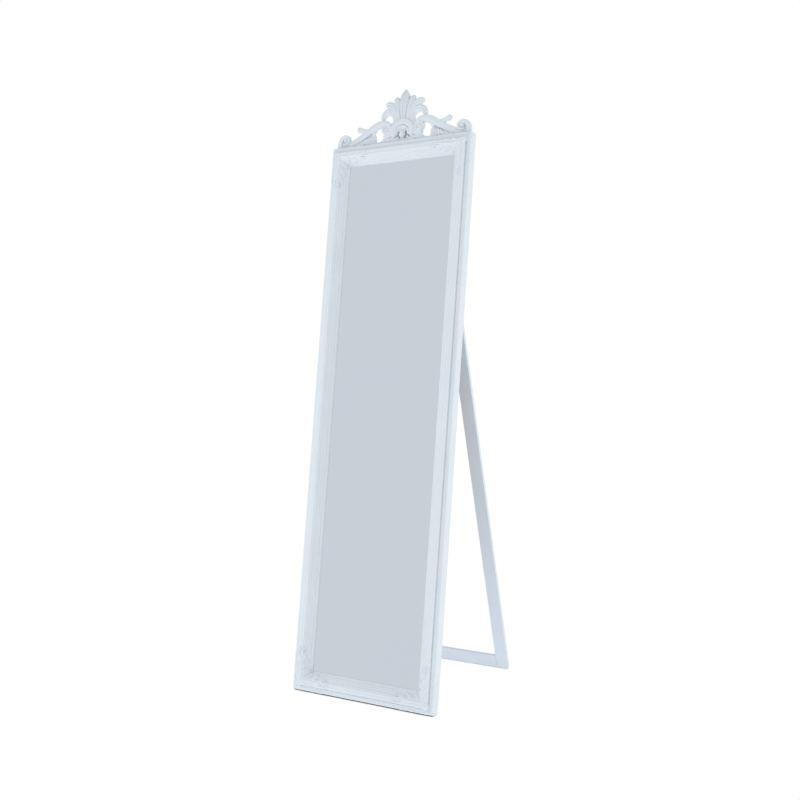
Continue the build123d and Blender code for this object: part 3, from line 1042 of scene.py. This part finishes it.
# ------------------------------------------------------------------ crest
@dataclass
class Crest:
    """The pierced crest: a spread palmette over a shell hood, with a scrolled arm each side.

    Heights h are above the frame's top edge.  Every leaf is a closed shell, the right
    half is mirrored, and all shells are melted into one cast body.
    """

    axes: FrameAxes
    voxel: float = 1.13
    relax: int = 2
    middle: tuple[Leaf, ...] = (
        # the tall leaf, the backing behind the palmette, the hood, its inner fillet and the sill
        Leaf(((0, 56, 6, 22), (0, 75, 8.2, 26), (0, 95, 10.4, 27.5), (0, 115, 12.6, 27),
              (0, 129, 14.6, 24.5), (0, 139, 15.2, 21), (0, 149, 10.5, 17.5), (0, 156, 5.4, 14.5),
              (0, 162, 0.9, 12)), rim=13, flutes=3, flute_depth=3.6, tip=0.015, bulge=0.45, lengthwise=110,
             across=54),
        Leaf(((0, 50, 27, 11), (0, 70, 26, 11.5), (0, 86, 26, 12), (0, 104, 38, 12), (0, 121, 42, 11.5),
              (0, 132, 27, 11), (0, 143, 9, 10)), rim=10.5, back=0, tip=0.02, bulge=0.3),
        Leaf(arch_band(33.2, 9.4, 25.5, -16, 196, 28), rim=17, ripples=19, ripple_depth=1.5, root=0.05,
             tip=0.05, lengthwise=220, flutes=1, flute_depth=0.8, bulge=0.5),
        Leaf(arch_band(20.3, 3.8, 23, -14, 194, 26), rim=16, root=0.04, tip=0.04, lengthwise=80),
        Leaf(arch_band(24.0, 9.0, 19, -8, 188, 27), rim=17, root=0.04, tip=0.04, lengthwise=60, bulge=0.4),
        Leaf(arch_band(11.5, 8.0, 18, 32, 148, 25), rim=16, root=0.1, tip=0.1, lengthwise=40, bulge=0.4),
        Leaf(((-99, 4.6, 5, 12), (0, 4.6, 5.5, 12), (99, 4.6, 5, 12)), rim=12, back=0, root=0.005, tip=0.005,
             bulge=0.3),
        Leaf(((0, -3, 36, 10), (0, 20, 38, 10), (0, 45, 34, 10), (0, 62, 20, 10)), rim=10, back=0, tip=0.1,
             bulge=0.3),
    )
    right: tuple[Leaf, ...] = (
        # palmette lobes beside the tall leaf, from the inside out
        Leaf(((12, 56, 5, 19), (15, 78, 6.6, 22.5), (19, 99, 8.2, 24), (23.5, 117, 9.8, 23.5),
              (28, 130, 9.4, 21.5), (31.5, 139.5, 6.5, 17)), rim=11, flutes=3, flute_depth=2.6, tip=0.1,
             bulge=0.5, across=40),
        Leaf(((18, 60, 6, 18), (23, 80, 8, 21), (31, 98, 10, 23), (41.5, 110, 12, 23.5),
              (52, 116.5, 12.2, 22), (61, 117.5, 9.6, 19), (66.8, 114.5, 5.5, 16)), rim=10, flutes=3,
             flute_depth=2.9, tip=0.1, bulge=0.5, across=44, lengthwise=80),
        Leaf(((26, 60, 8, 17), (29, 76, 9.2, 20), (36.5, 88.5, 10.2, 22), (48, 95.8, 11.2, 23),
              (59.5, 95.2, 11.2, 22), (68, 88.6, 10.2, 20), (72, 80, 8.4, 18), (72, 72.5, 6.2, 16)), rim=10,
             flutes=3, flute_depth=2.8, tip=0.07, bulge=0.5, across=44, lengthwise=100),
        Leaf(((33, 38, 5, 17), (32, 52, 7.6, 18), (29, 68, 9.6, 18.5), (28, 84, 8, 18)), rim=12, flutes=1,
             flute_depth=1.0),
        # arm, from the end scroll over the opening and round into the inner roll
        Leaf(((218, 6, 7, 13), (196, 9.2, 8.6, 15), (178, 14.8, 8.6, 17), (160, 22, 8.8, 18.5),
              (142, 30.4, 9.2, 19.5), (124, 39.8, 9.8, 20.2), (108, 49.6, 10.6, 20.6), (94, 56.5, 11.4, 21),
              (80, 61.4, 11, 21.5), (69, 63, 10.2, 21.5), (58, 61.2, 9, 21.2), (48.6, 56, 7.6, 21),
              (43.6, 47.5, 6.2, 21.5), (44.6, 38.6, 5.4, 22), (51.5, 32.6, 5.0, 22.5), (60.5, 32.8, 4.8, 23),
              (67, 38.6, 4.6, 23), (67.6, 46.6, 4.2, 23), (62, 51.6, 3.4, 22.5), (56, 51.4, 2.6, 22)),
             rim=13, flutes=2, flute_depth=0.9, tip=0.02, bulge=0.4, lengthwise=230, across=36),
        # leaf edge round the opening
        Leaf(((103, -4, 5.4, 16), (102.6, 10, 5.0, 17), (103, 24, 5.0, 17.5), (101.5, 36, 5.4, 18),
              (96.5, 46, 5.6, 19), (90, 54, 5, 20)), rim=12, root=0.02, tip=0.3, ripples=7, ripple_depth=0.8,
             bulge=0.5),
        # ground under the arm
        Leaf(((98, 26, 9, 12), (112, 22, 20, 12), (135, 14, 20, 12.5), (160, 8, 16, 13.5),
              (190, 4, 12, 12.5), (216, 3, 9, 12)), rim=11, back=0, root=0.01, tip=0.01, bulge=0.4),
        Leaf(((46, 43, 8, 18), (57, 43, 13, 19), (68, 43, 7, 18)), rim=17, back=0, root=0.2, tip=0.2,
             bulge=0.3),
        # spur leaf, a thumb with a rounded end
        Leaf(((110, 42, 8, 16), (124, 45.5, 7.6, 17), (136, 49, 7, 18), (147, 52.5, 7.2, 19.5),
              (156, 54.5, 8.6, 20.5), (163.5, 55.5, 7, 18)), rim=12, tip=0.14, bulge=0.6, flutes=2,
             flute_depth=0.8),
        # end scroll
        Leaf(((221.4, -4, 7.8, 19), (221.4, 10, 8, 20), (219.6, 21.5, 7.8, 21.5), (213.4, 31.8, 6.8, 23),
              (203.5, 36.8, 5.6, 24.5), (193.6, 35.2, 4.6, 25), (187.8, 28.6, 3.8, 25),
              (188.2, 20.8, 3.5, 25), (194, 14.8, 3.3, 24.5), (202.6, 13.8, 3.0, 24),
              (208.6, 17.4, 2.2, 23)), rim=16, tip=0.03, bulge=0.5, lengthwise=130, flutes=1,
             flute_depth=1.2),
        Leaf(((190, 20, 8, 15), (200, 21, 17, 15.5), (212, 20, 16, 15), (220, 18, 8, 14)), rim=14, root=0.1,
             tip=0.1, bulge=0.3),
    )
    folds: tuple[Station, ...] = (
        # foot, half width, lean towards the middle at the top, height
        (99.2, 4.2, 0.5, 28), (107.4, 4.4, 2.0, 29), (116.0, 4.7, 4.2, 28), (126.2, 5.6, 7.6, 26),
        (138.8, 6.6, 11.5, 21), (153.5, 7.4, 15.0, 14))
    balls: tuple[tuple[Triple, Triple], ...] = (
        # centre and radii of the inner roll and the end scroll
        ((57.2, 42.8, 15), (6.2, 6.6, 8.2)), ((199.4, 25.4, 16), (7.5, 7.5, 10.0)))
    boss: tuple[Triple, Triple] = ((0, 23, 17), (10.0, 11.5, 10))
    streaks: int = 2
    leaflets: tuple[Leaf, ...] = (
        Leaf(((2, 9, 4.6, 18), (13, 4.6, 4.4, 17), (27, 2.6, 3.4, 15)), rim=9, tip=0.3),
        Leaf(((15, 18, 4.2, 20), (21.5, 9.5, 5, 20), (37, 4.6, 4.8, 18), (58, 3, 4, 16), (80, 4, 3, 14),
              (96, 5.5, 2, 13)), rim=9, flutes=1, flute_depth=1.6, tip=0.1),
        Leaf(((24, 31, 4.4, 21.5), (28.5, 19, 5.2, 22), (41, 11, 4.8, 20.5), (60, 8, 3.8, 17.5),
              (80, 9.6, 2.4, 14.5)), rim=9, flutes=1, flute_depth=1.8, tip=0.12),
        Leaf(((34, 38, 4.4, 21), (38.5, 27, 5.4, 22), (49, 19, 5.2, 20.5), (60, 15.4, 4.4, 18.5),
              (72, 13, 2.8, 15.5)), rim=12, flutes=1, flute_depth=1.6, tip=0.15),
        Leaf(((41, 35, 4.2, 22), (45, 28.5, 5.2, 22.5), (53, 24.2, 5.2, 21.5), (63, 23.4, 4.4, 19.5),
              (70, 25, 2.6, 17)), rim=12, flutes=1, flute_depth=1.4, tip=0.2),
        Leaf(((34, 18, 15, 13), (50, 16, 14, 13.5), (62, 14.5, 10, 13)), rim=12.5, back=4, tip=0.2, root=0.2,
             bulge=0.3),
        Leaf(((-4, 5, 6, 16), (12, 5, 7, 16), (30, 4, 4, 14)), rim=13, back=4, tip=0.3, bulge=0.5),
    )

    def fold(self, foot: float, half: float, lean: float, top: float) -> Leaf:
        """One fold of the skirt of leaf under the arm: it rises from its foot and leans to the middle.

        Args:
            foot: place of its foot.
            half: half width.
            lean: how far its top leans.
            top: height of its top.

        Returns:
            The fold.
        """
        stations = ((foot - lean - 1, top + 4, 0.45 * half, 17.2),
                    (foot - 0.62 * lean, top - 6, 0.8 * half, 19.4),
                    (foot - 0.2 * lean, 0.4 * top, 0.9 * half, 19.6), (foot, -4, 0.92 * half, 16.0))
        return Leaf(stations, rim=10, root=0.3, tip=0.02, bulge=0.8, lengthwise=44)

    def streak(self, k: int) -> Leaf:
        """A long rib that runs in from the end scroll along the foot of the arm.

        Args:
            k: its number, from the lowest.

        Returns:
            The rib.
        """
        rise = 4.4 * k
        stations = ((222, 1.5 + 0.5 * rise, 1.6, 12), (200, 2.5 + 0.8 * rise, 2.4, 14.5),
                    (178, 3 + 1.1 * rise, 2.9, 15.5), (160, 5 + 1.5 * rise, 2.6, 15.5))
        return Leaf(stations, rim=9, root=0.1, tip=0.3, lengthwise=40)

    def build(self, palette: Palette) -> bpy.types.Object:
        """Melts the shells into one body and sets it on the frame.

        Args:
            palette: the materials.

        Returns:
            The piece.
        """
        skin = Skin()
        sided = [*self.right, *self.leaflets, *(self.fold(*row) for row in self.folds),
                 *(self.streak(k) for k in range(self.streaks))]
        for leaf in self.middle:
            self.shell(skin, leaf, 1)
        for side in (1, -1):
            for leaf in sided:
                self.shell(skin, leaf, side)
            for (x, y, out), radii in self.balls:
                skin.add_ball((side * x, y, out), radii, self.stand)
        skin.add_ball(*self.boss, self.stand)
        body = moved(fused(skin.mesh("crest shells"), self.voxel, self.relax), self.axes.settle)
        crest = piece("crest_carving", body, CARVED_CREASE)
        palette.dress(crest, Slot.CARVING)
        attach(crest, "frame")
        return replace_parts(crest, "crest")

    def shell(self, skin: Skin, leaf: Leaf, side: int) -> None:
        """Adds one leaf on the right side, or mirrored on the left."""
        x, y, height = leaf.rings()
        skin.add_rings(self.stand(side * x, y, height))

    def stand(self, x: np.ndarray, y: np.ndarray, height: np.ndarray) -> np.ndarray:
        """(u, n, v) of a point of the drawing, none below the frame's top edge or behind its back."""
        v = self.axes.height + np.maximum(y, 0)
        return np.stack(np.broadcast_arrays(x, np.maximum(height, 0), v), -1)


# ------------------------------------------------------------------ corner carvings
def lobe(*stations: Station, flutes: int = 2, flute_depth: float = 1.8) -> Leaf:
    """A short fluted lobe of a corner spray."""
    return Leaf(stations, rim=-0.3, flutes=flutes, flute_depth=flute_depth, tip=0.3)


def feather(*stations: Station) -> Leaf:
    """A narrow plain leaf at the end of a corner spray."""
    return Leaf(stations, rim=-0.4, tip=0.25)


def folded(*stations: Station, ripples: int = 0, tip: float = 0.25) -> Leaf:
    """A rippled leaf folded over the frame's outer arris."""
    return Leaf(stations, rim=-0.2, tip=tip, ripples=ripples, ripple_depth=0.7 if ripples else 0.0)


@dataclass
class CornerCarving:
    """Acanthus spray that wraps one corner of the moulding.

    The drawing is a flat chart.  Its two axes run along the two arms, and the smaller
    of the two coordinates is the distance across the moulding, measured round a guide
    curve from the outer arris.  A chart point is carried to the guide and lifted along
    the guide's normal by its height.
    """

    axes: FrameAxes
    reach: float = 135.0
    voxel: float = 0.62
    relax: int = 2
    root_depth: float = -1.8
    guide: tuple[Point, ...] = (
        (0.1, 12.0), (0.0, 20.0), (0.1, 25.0), (1.1, 28.1), (3.8, 29.1), (9.0, 29.3), (12.4, 29.6),
        (14.6, 31.4), (16.1, 35.2), (18.4, 37.7), (22.0, 38.2), (26.6, 38.3), (33.4, 37.1), (38.9, 32.6),
        (42.7, 29.2), (47.1, 25.4), (52.7, 19.7), (57.8, 14.3))
    guide_points: int = 400
    blend: int = 20
    arris: float = 15.5
    softness: float = 2.0
    spray: tuple[Leaf, ...] = (
        # main leaf along the crown, its lobes to the inside, its lobes to the outside
        Leaf(((24, 30, 6, 1.8), (42, 33, 9, 2.3), (62, 35, 9.5, 2.4), (82, 34, 8, 2.3), (104, 31, 6, 2.0),
              (131, 31, 3, 1.2)), rim=-0.3, flutes=2, flute_depth=2.2),
        lobe((38, 38, 5, 1.6), (52, 46, 7, 2.4), (66, 57, 6.4, 2.6), (73, 64, 5, 2.2), flute_depth=2.0),
        lobe((60, 38, 5, 1.6), (75, 45, 6.6, 2.4), (88, 54, 6, 2.5), (95, 60, 4.6, 2.0), flute_depth=2.0),
        lobe((82, 36, 4, 1.5), (97, 41, 5.6, 2.2), (110, 47, 5, 2.2), (117, 51, 3.6, 1.6), flutes=1),
        lobe((34, 31, 5, 1.5), (44, 27, 6, 2.2), (55, 22.5, 5.2, 2.3), (64, 19.5, 4, 1.7)),
        lobe((58, 30, 5, 1.5), (69, 26, 5.8, 2.2), (80, 22, 5, 2.2), (89, 19.5, 3.8, 1.6)),
        lobe((82, 29, 4, 1.4), (92, 25.5, 5, 2.0), (103, 22.5, 4.2, 2.0), (111, 20.5, 3, 1.4), flutes=1,
             flute_depth=1.7),
        # feathered end
        feather((102, 25, 2.2, 1.6), (116, 24.5, 2.3, 1.9), (130, 25.5, 1.6, 1.4)),
        feather((104, 37, 2.2, 1.6), (118, 38, 2.3, 1.9), (131, 38, 1.6, 1.4)),
        feather((100, 43, 2.1, 1.5), (112, 44, 2.2, 1.8), (124, 44.5, 1.5, 1.2)),
        # leaves folded over the outer arris
        folded((6, 1.5, 6.5, 1.1), (22, 1, 6.8, 1.2), (38, 1.5, 5.5, 1.1), (50, 0.5, 4, 0.8), ripples=3),
        folded((46, 0, 5, 1.0), (62, -0.5, 6, 1.2), (78, 0, 5, 1.1), (90, 0.5, 3, 0.7), ripples=2),
        folded((84, 1, 3.4, 0.9), (98, 1.5, 4.4, 1.1), (112, 2.5, 3, 0.8), tip=0.3),
    )
    middle: tuple[Leaf, ...] = (
        Leaf(((3, 3, 7, 1.2), (14, 14, 10, 2.0), (26, 26, 12, 2.5), (38, 38, 12.5, 2.6), (50, 50, 10, 2.6),
              (62, 62, 6, 2.0)), rim=-0.3, flutes=4, flute_depth=2.2, tip=0.2, across=46, lengthwise=90),
    )
    beads: tuple[Triple, ...] = ((26, 22, 2.8), (46, 56, 2.6), (62, 49, 2.2), (84, 50, 2.2))
    bead_shape: tuple[float, float, int] = (0.3, 2.0, 20)

    def __post_init__(self) -> None:
        """Measures the guide: points, outward normals and distance from the outer arris."""
        path = spline(np.array(self.guide, float), np.linspace(0, 1, self.guide_points))
        along = np.gradient(path, axis=0)
        along /= np.linalg.norm(along, axis=1, keepdims=True)
        normal = np.stack([-along[:, 1], along[:, 0]], 1)
        kernel = np.hanning(2 * self.blend + 1)
        padded = np.pad(normal, ((self.blend, self.blend), (0, 0)), mode="edge")
        smooth = np.stack([np.convolve(column, kernel / kernel.sum(), "valid") for column in padded.T], 1)
        self.path = path
        self.normal = smooth / np.linalg.norm(smooth, axis=1, keepdims=True)
        steps = np.linalg.norm(np.diff(path, axis=0), axis=1)
        self.measure = np.concatenate([[0.0], np.cumsum(steps)]) - self.arris

    def wrap(self, x: np.ndarray, y: np.ndarray, height: np.ndarray) -> np.ndarray:
        """Carries chart points to the corner.

        q is a soft minimum of x and y.  The guide gives p(q), n(q) and the normal there.
        Along each arm, a point keeps its share of the way from the mitre to the reach.

        Args:
            x: along the first arm.
            y: along the second arm.
            height: above the guide.

        Returns:
            (..., 3) points: along the first arm, out of the back, along the second arm.
        """
        x, y, height = np.broadcast_arrays(x, y, height)
        gap = np.sqrt((x - y) ** 2 + self.softness**2)
        q = (x + y - gap) / 2
        p, n = (np.interp(q, self.measure, self.path[:, k]) for k in (0, 1))
        out_p, out_n = (np.interp(q, self.measure, self.normal[:, k]) for k in (0, 1))
        share = (x - y) / gap
        first = p + (x - q) * (self.reach - p) / (self.reach - q)
        second = p + (y - q) * (self.reach - p) / (self.reach - q)
        first = first + out_p * height * (1 - share) / 2
        second = second + out_p * height * (1 + share) / 2
        return np.stack([first, n + out_n * height, second], -1)

    def build(self, palette: Palette) -> list[bpy.types.Object]:
        """Makes the bottom left spray once and turns it into all four.

        Args:
            palette: the materials.

        Returns:
            The four pieces.
        """
        skin = Skin()
        for leaf in self.middle:
            skin.add_rings(self.wrap(*replace(leaf, back=self.root_depth).rings()))
        for leaf in self.spray:
            x, y, height = replace(leaf, back=self.root_depth).rings()
            skin.add_rings(self.wrap(x, y, height))
            skin.add_rings(self.wrap(y, x, height))
        out, high, rows = self.bead_shape
        for x, y, r in self.beads:
            skin.add_ball((x, y, out), (r, r, high), self.wrap, rows)
            skin.add_ball((y, x, out), (r, r, high), self.wrap, rows)
        one = fused(skin.mesh("spray shells"), self.voxel, self.relax)
        w, h = self.axes.width, self.axes.height
        made = []
        for up in ("bottom", "top"):
            for side in ("left", "right"):
                copy = one.copy()
                moved(copy, lambda k: self.corner(k, side, up, w, h))
                if (side == "right") != (up == "top"):
                    copy.flip_normals()
                spray = piece(f"leaf_spray_{up}_{side}", copy, CARVED_CREASE)
                palette.dress(spray, Slot.CARVING)
                spray.data.materials[0] = palette.spray
                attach(spray, "frame")
                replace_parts(spray, f"corner_carving_{up}_{side}")
                made.append(spray)
        return made

    def corner(self, points: np.ndarray, side: str, up: str, width: float, height: float) -> np.ndarray:
        """Sets the spray on one corner.

        Args:
            points: (points, 3) along the first arm, out of the back, along the second arm.
            side: left or right.
            up: top or bottom.
            width: the frame's width.
            height: the frame's height.

        Returns:
            (points, 3) in the row frame.
        """
        u = points[:, 0] - width / 2
        v = points[:, 2]
        return self.axes.place(-u if side == "right" else u, points[:, 1], height - v if up == "top" else v)


# ------------------------------------------------------------------ glass and back
@dataclass
class Pane:
    """The mirror pane: silvered front, ground green edges and painted back, with seamed arrises."""

    axes: FrameAxes
    rebate_edge: float = 48.0
    clearance: float = 1.0
    front: float = 12.0
    back: float = 8.0
    seam: float = 0.5
    flat: float = 0.9

    def build(self, palette: Palette) -> bpy.types.Object:
        """Carries the pane's edge section round its rectangle and closes both faces.

        Each ring is the rectangle at one step of the edge section: the seam runs in by
        its own width at 45 degrees on both faces.

        Args:
            palette: the materials.

        Returns:
            The piece.
        """
        half_w = self.axes.width / 2 - self.rebate_edge - self.clearance
        half_h = self.axes.height / 2 - self.rebate_edge - self.clearance
        section = [(self.seam, self.back), (0, self.back + self.seam), (0, self.front - self.seam),
                   (self.seam, self.front)]
        corners = np.array([(-1, -1), (1, -1), (1, 1), (-1, 1)], float)
        middle = self.axes.height / 2
        rings = [self.axes.place(corners[:, 0] * (half_w - inset), np.full(4, n),
                                 middle + corners[:, 1] * (half_h - inset)) for inset, n in section]
        skin = Skin()
        skin.add_rings(np.array(rings))
        pane = piece("mirror_pane", skin.mesh("mirror_pane"), 20)
        palette.dress(pane, Slot.GLASS)
        pane.data.materials.append(palette.glass_edge)
        pane.data.materials.append(palette.backing)
        faces = pane.data.polygons
        facing = np.empty(len(faces) * 3, np.float32)
        faces.foreach_get("normal", facing)
        facing = facing.reshape(-1, 3)[:, 1]
        behind = np.where(facing > self.flat, 2, 1)
        faces.foreach_set("material_index", np.where(facing < -self.flat, 0, behind))
        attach(pane, "frame")
        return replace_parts(pane, "mirror_glass")


@dataclass
class KeptParts:
    """The designed parts that stay as they are and only get their finish."""

    nodes: dict[str, bpy.types.Object]
    dressed: dict[Slot, tuple[str, ...]] = field(default_factory=lambda: {
        Slot.CUSHION: ("cushion_sheet",),
        Slot.BOARD: ("back_board",),
        Slot.PLATE: ("back_clips", "corner_plates", "crest_straps"),
        Slot.SCREW: ("back_clip_screws", "corner_plate_screws", "crest_strap_screws", "batten_screws"),
        Slot.EASEL: ("hinge_batten", "easel_left_leg", "easel_right_leg", "easel_top_rail",
                     "easel_bottom_rail"),
        Slot.BRASS: ("hinge_left_fixed_leaf", "hinge_right_fixed_leaf", "hinge_left_moving_leaf",
                     "hinge_right_moving_leaf"),
        Slot.PIN: ("hinge_left_pin", "hinge_right_pin"),
        Slot.BRASS_SCREW: ("hinge_fixed_screws", "hinge_moving_screws"),
        Slot.DOWEL: ("easel_dowels",),
    })

    def dress(self, palette: Palette) -> int:
        """Puts each slot's material on its parts.

        Args:
            palette: the materials.

        Returns:
            How many parts there are.
        """
        for slot, names in self.dressed.items():
            for name in names:
                for holder in self.nodes[name].material_slots:
                    holder.material = palette.by_slot[slot]
        return sum(len(names) for names in self.dressed.values())


# ------------------------------------------------------------------ studio
@dataclass(frozen=True)
class Lamp:
    """A square soft lamp that the glass doesn't see."""

    name: str
    place: Triple
    aim: Triple
    size: float
    power: float

    def build(self) -> None:
        """Hangs the lamp and turns it to its aim."""
        data = bpy.data.lights.new(self.name, "AREA")
        data.size, data.energy = self.size, self.power
        made = bpy.data.objects.new(self.name, data)
        made.location = self.place
        made.rotation_euler = (Vector(self.aim) - Vector(self.place)).to_track_quat("-Z", "Y").to_euler()
        made.visible_glossy = False
        bpy.context.scene.collection.objects.link(made)


@dataclass
class Studio:
    """Plain pale floor, soft light all round, and the camera."""

    axes: FrameAxes
    azimuth: float = 32.865
    distance: float = 3050.7
    eye: float = 951.8
    pitch: float = -2.6
    lens: float = 48.5
    shift: Point = (0.0435, 0.0207)
    dome: float = 0.77
    tint: Colour = (0.982, 1.0, 1.015)
    wall: Colour = (0.605, 0.655, 0.712)
    paper: Colour = (1.0, 1.0, 1.0)
    floor_glow: float = 0.42
    floor_radius: float = 14.0
    floor_rings: int = 15
    floor_top: float = -0.0004
    floor_depth: float = 0.02
    painted_contact_shadow: Colour = (0.08, 0.08, 0.10)
    painted_shadow_reach: float = 0.03
    painted_shadow_range: Point = (0.24, 0.48)
    lamps: tuple[Lamp, ...] = (
        Lamp("key", (-1.5, -0.75, 0.9), (0.1, -0.15, 0.6), 0.8, 4.2),
        Lamp("side", (2.4, 0.35, 0.8), (0.2, -0.05, 0.8), 1.4, 6.5),
    )

    def camera(self) -> None:
        """Stands the camera off the right-hand front corner."""
        data = bpy.data.cameras.new("camera")
        data.lens, data.sensor_width = self.lens, 36.0
        data.shift_x, data.shift_y = self.shift
        made = bpy.data.objects.new("camera", data)
        around = math.radians(self.azimuth)
        made.location = (math.sin(around) * self.distance * MM,
                         (self.axes.y0 - math.cos(around) * self.distance) * MM, self.eye * MM)
        made.rotation_euler = (math.radians(90 + self.pitch), 0, around)
        bpy.context.scene.collection.objects.link(made)
        bpy.context.scene.camera = made

    @staticmethod
    def by_ray(nodes: Nodes, light: Socket, glossy: Socket, seen: Socket) -> Socket:
        """Chooses a shader by the kind of ray that meets it.

        Args:
            nodes: helper of the tree.
            light: shader for rays that light the pieces.
            glossy: shader that polished pieces reflect.
            seen: shader that the camera sees.

        Returns:
            The chosen shader.
        """
        path = nodes.add("LightPath")
        first = nodes.add("MixShader", Fac=path.outputs["Is Glossy Ray"], input_1=light, input_2=glossy)
        both = nodes.add("MixShader", Fac=path.outputs["Is Camera Ray"], input_1=first.outputs[0],
                         input_2=seen)
        return both.outputs[0]

    def world(self) -> None:
        """White behind everything; a soft dome for the paint; an even grey wall for the glass."""
        made = bpy.data.worlds.new("studio")
        made.use_nodes = True
        nodes = Nodes(made.node_tree)
        shades = ((self.tint, self.dome), (self.wall, 1.0), (self.paper, 1.0))
        rays = [nodes.add("Background", Color=colour, Strength=power).outputs[0] for colour, power in shades]
        nodes.add("OutputWorld", Surface=self.by_ray(nodes, *rays))
        bpy.context.scene.world = made

    def floor(self) -> None:
        """A wide pale disc whose rings are spaced as the square of their number.

        The camera sees it as white paper with a painted contact shadow, darkened only where a piece stands
        close above it.
        """
        turn = np.linspace(0, math.tau, 96, endpoint=False)[None]
        radius = self.floor_radius * (np.arange(1, self.floor_rings + 1)[:, None] / self.floor_rings) ** 2
        level = self.floor_top
        top = np.stack(np.broadcast_arrays(radius * np.cos(turn), radius * np.sin(turn), level), -1)
        skin = Skin()
        skin.add_rings(np.concatenate([top, top[::-1] - np.array([0, 0, self.floor_depth])]))
        made = piece("floor", skin.mesh("floor"))
        finish = Finish("pale floor", (0.86, 0.87, 0.88), (0.82, 0.83, 0.84))
        material, nodes, shader, where = finish.start()
        cloud = nodes.add("TexNoise", Vector=where, Scale=3.0, Detail=2.0)
        nodes.feed(shader.inputs["Base Color"], nodes.mix(cloud.outputs[0], finish.colour, finish.shade))
        plain = {"Roughness": 0.9, "Specular IOR Level": 0.0, "Emission Strength": self.floor_glow}
        for name, value in plain.items():
            shader.inputs[name].default_value = value
        shader.inputs["Emission Color"].default_value = (1, 1, 1, 1)
        # painted contact shadow: ambient occlusion darkens the emitted white that the camera sees
        near = nodes.add("AmbientOcclusion", {"samples": 16}, Distance=self.painted_shadow_reach)
        open_air = nodes.ramp(near.outputs["AO"], *self.painted_shadow_range)
        sheet = nodes.add("Emission", Color=nodes.mix(open_air, self.painted_contact_shadow, self.paper), Strength=1.0)
        wall = nodes.add("Emission", Color=self.wall, Strength=1.0)
        output = next(n for n in nodes.tree.nodes if n.type == "OUTPUT_MATERIAL")
        rays = self.by_ray(nodes, shader.outputs[0], wall.outputs[0], sheet.outputs[0])
        nodes.feed(output.inputs["Surface"], rays)
        made.data.materials.append(material)

    def build(self) -> None:
        """Sets up the camera, the world, the floor and the lamps."""
        bpy.context.scene.view_settings.view_transform = "Standard"
        self.camera()
        self.world()
        self.floor()
        for lamp in self.lamps:
            lamp.build()


def main() -> None:
    """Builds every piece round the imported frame."""
    logging.basicConfig(level=logging.INFO, format="%(message)s")
    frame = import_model()
    axes = FrameAxes.from_frame(frame["joints"])
    log.info("frame %.1f x %.1f mm, lean %.2f degrees", axes.width, axes.height, math.degrees(axes.tilt))
    palette = Palette()
    made = [*Moulding(axes).build(palette), Crest(axes).build(palette), *CornerCarving(axes).build(palette),
            Pane(axes).build(palette)]
    for one in made:
        log.info("%s: %d faces", one.name, len(one.data.polygons))
    log.info("%d designed parts dressed", KeptParts(frame["nodes"]).dress(palette))
    Studio(axes).build()


if __name__ == "__main__":
    main()
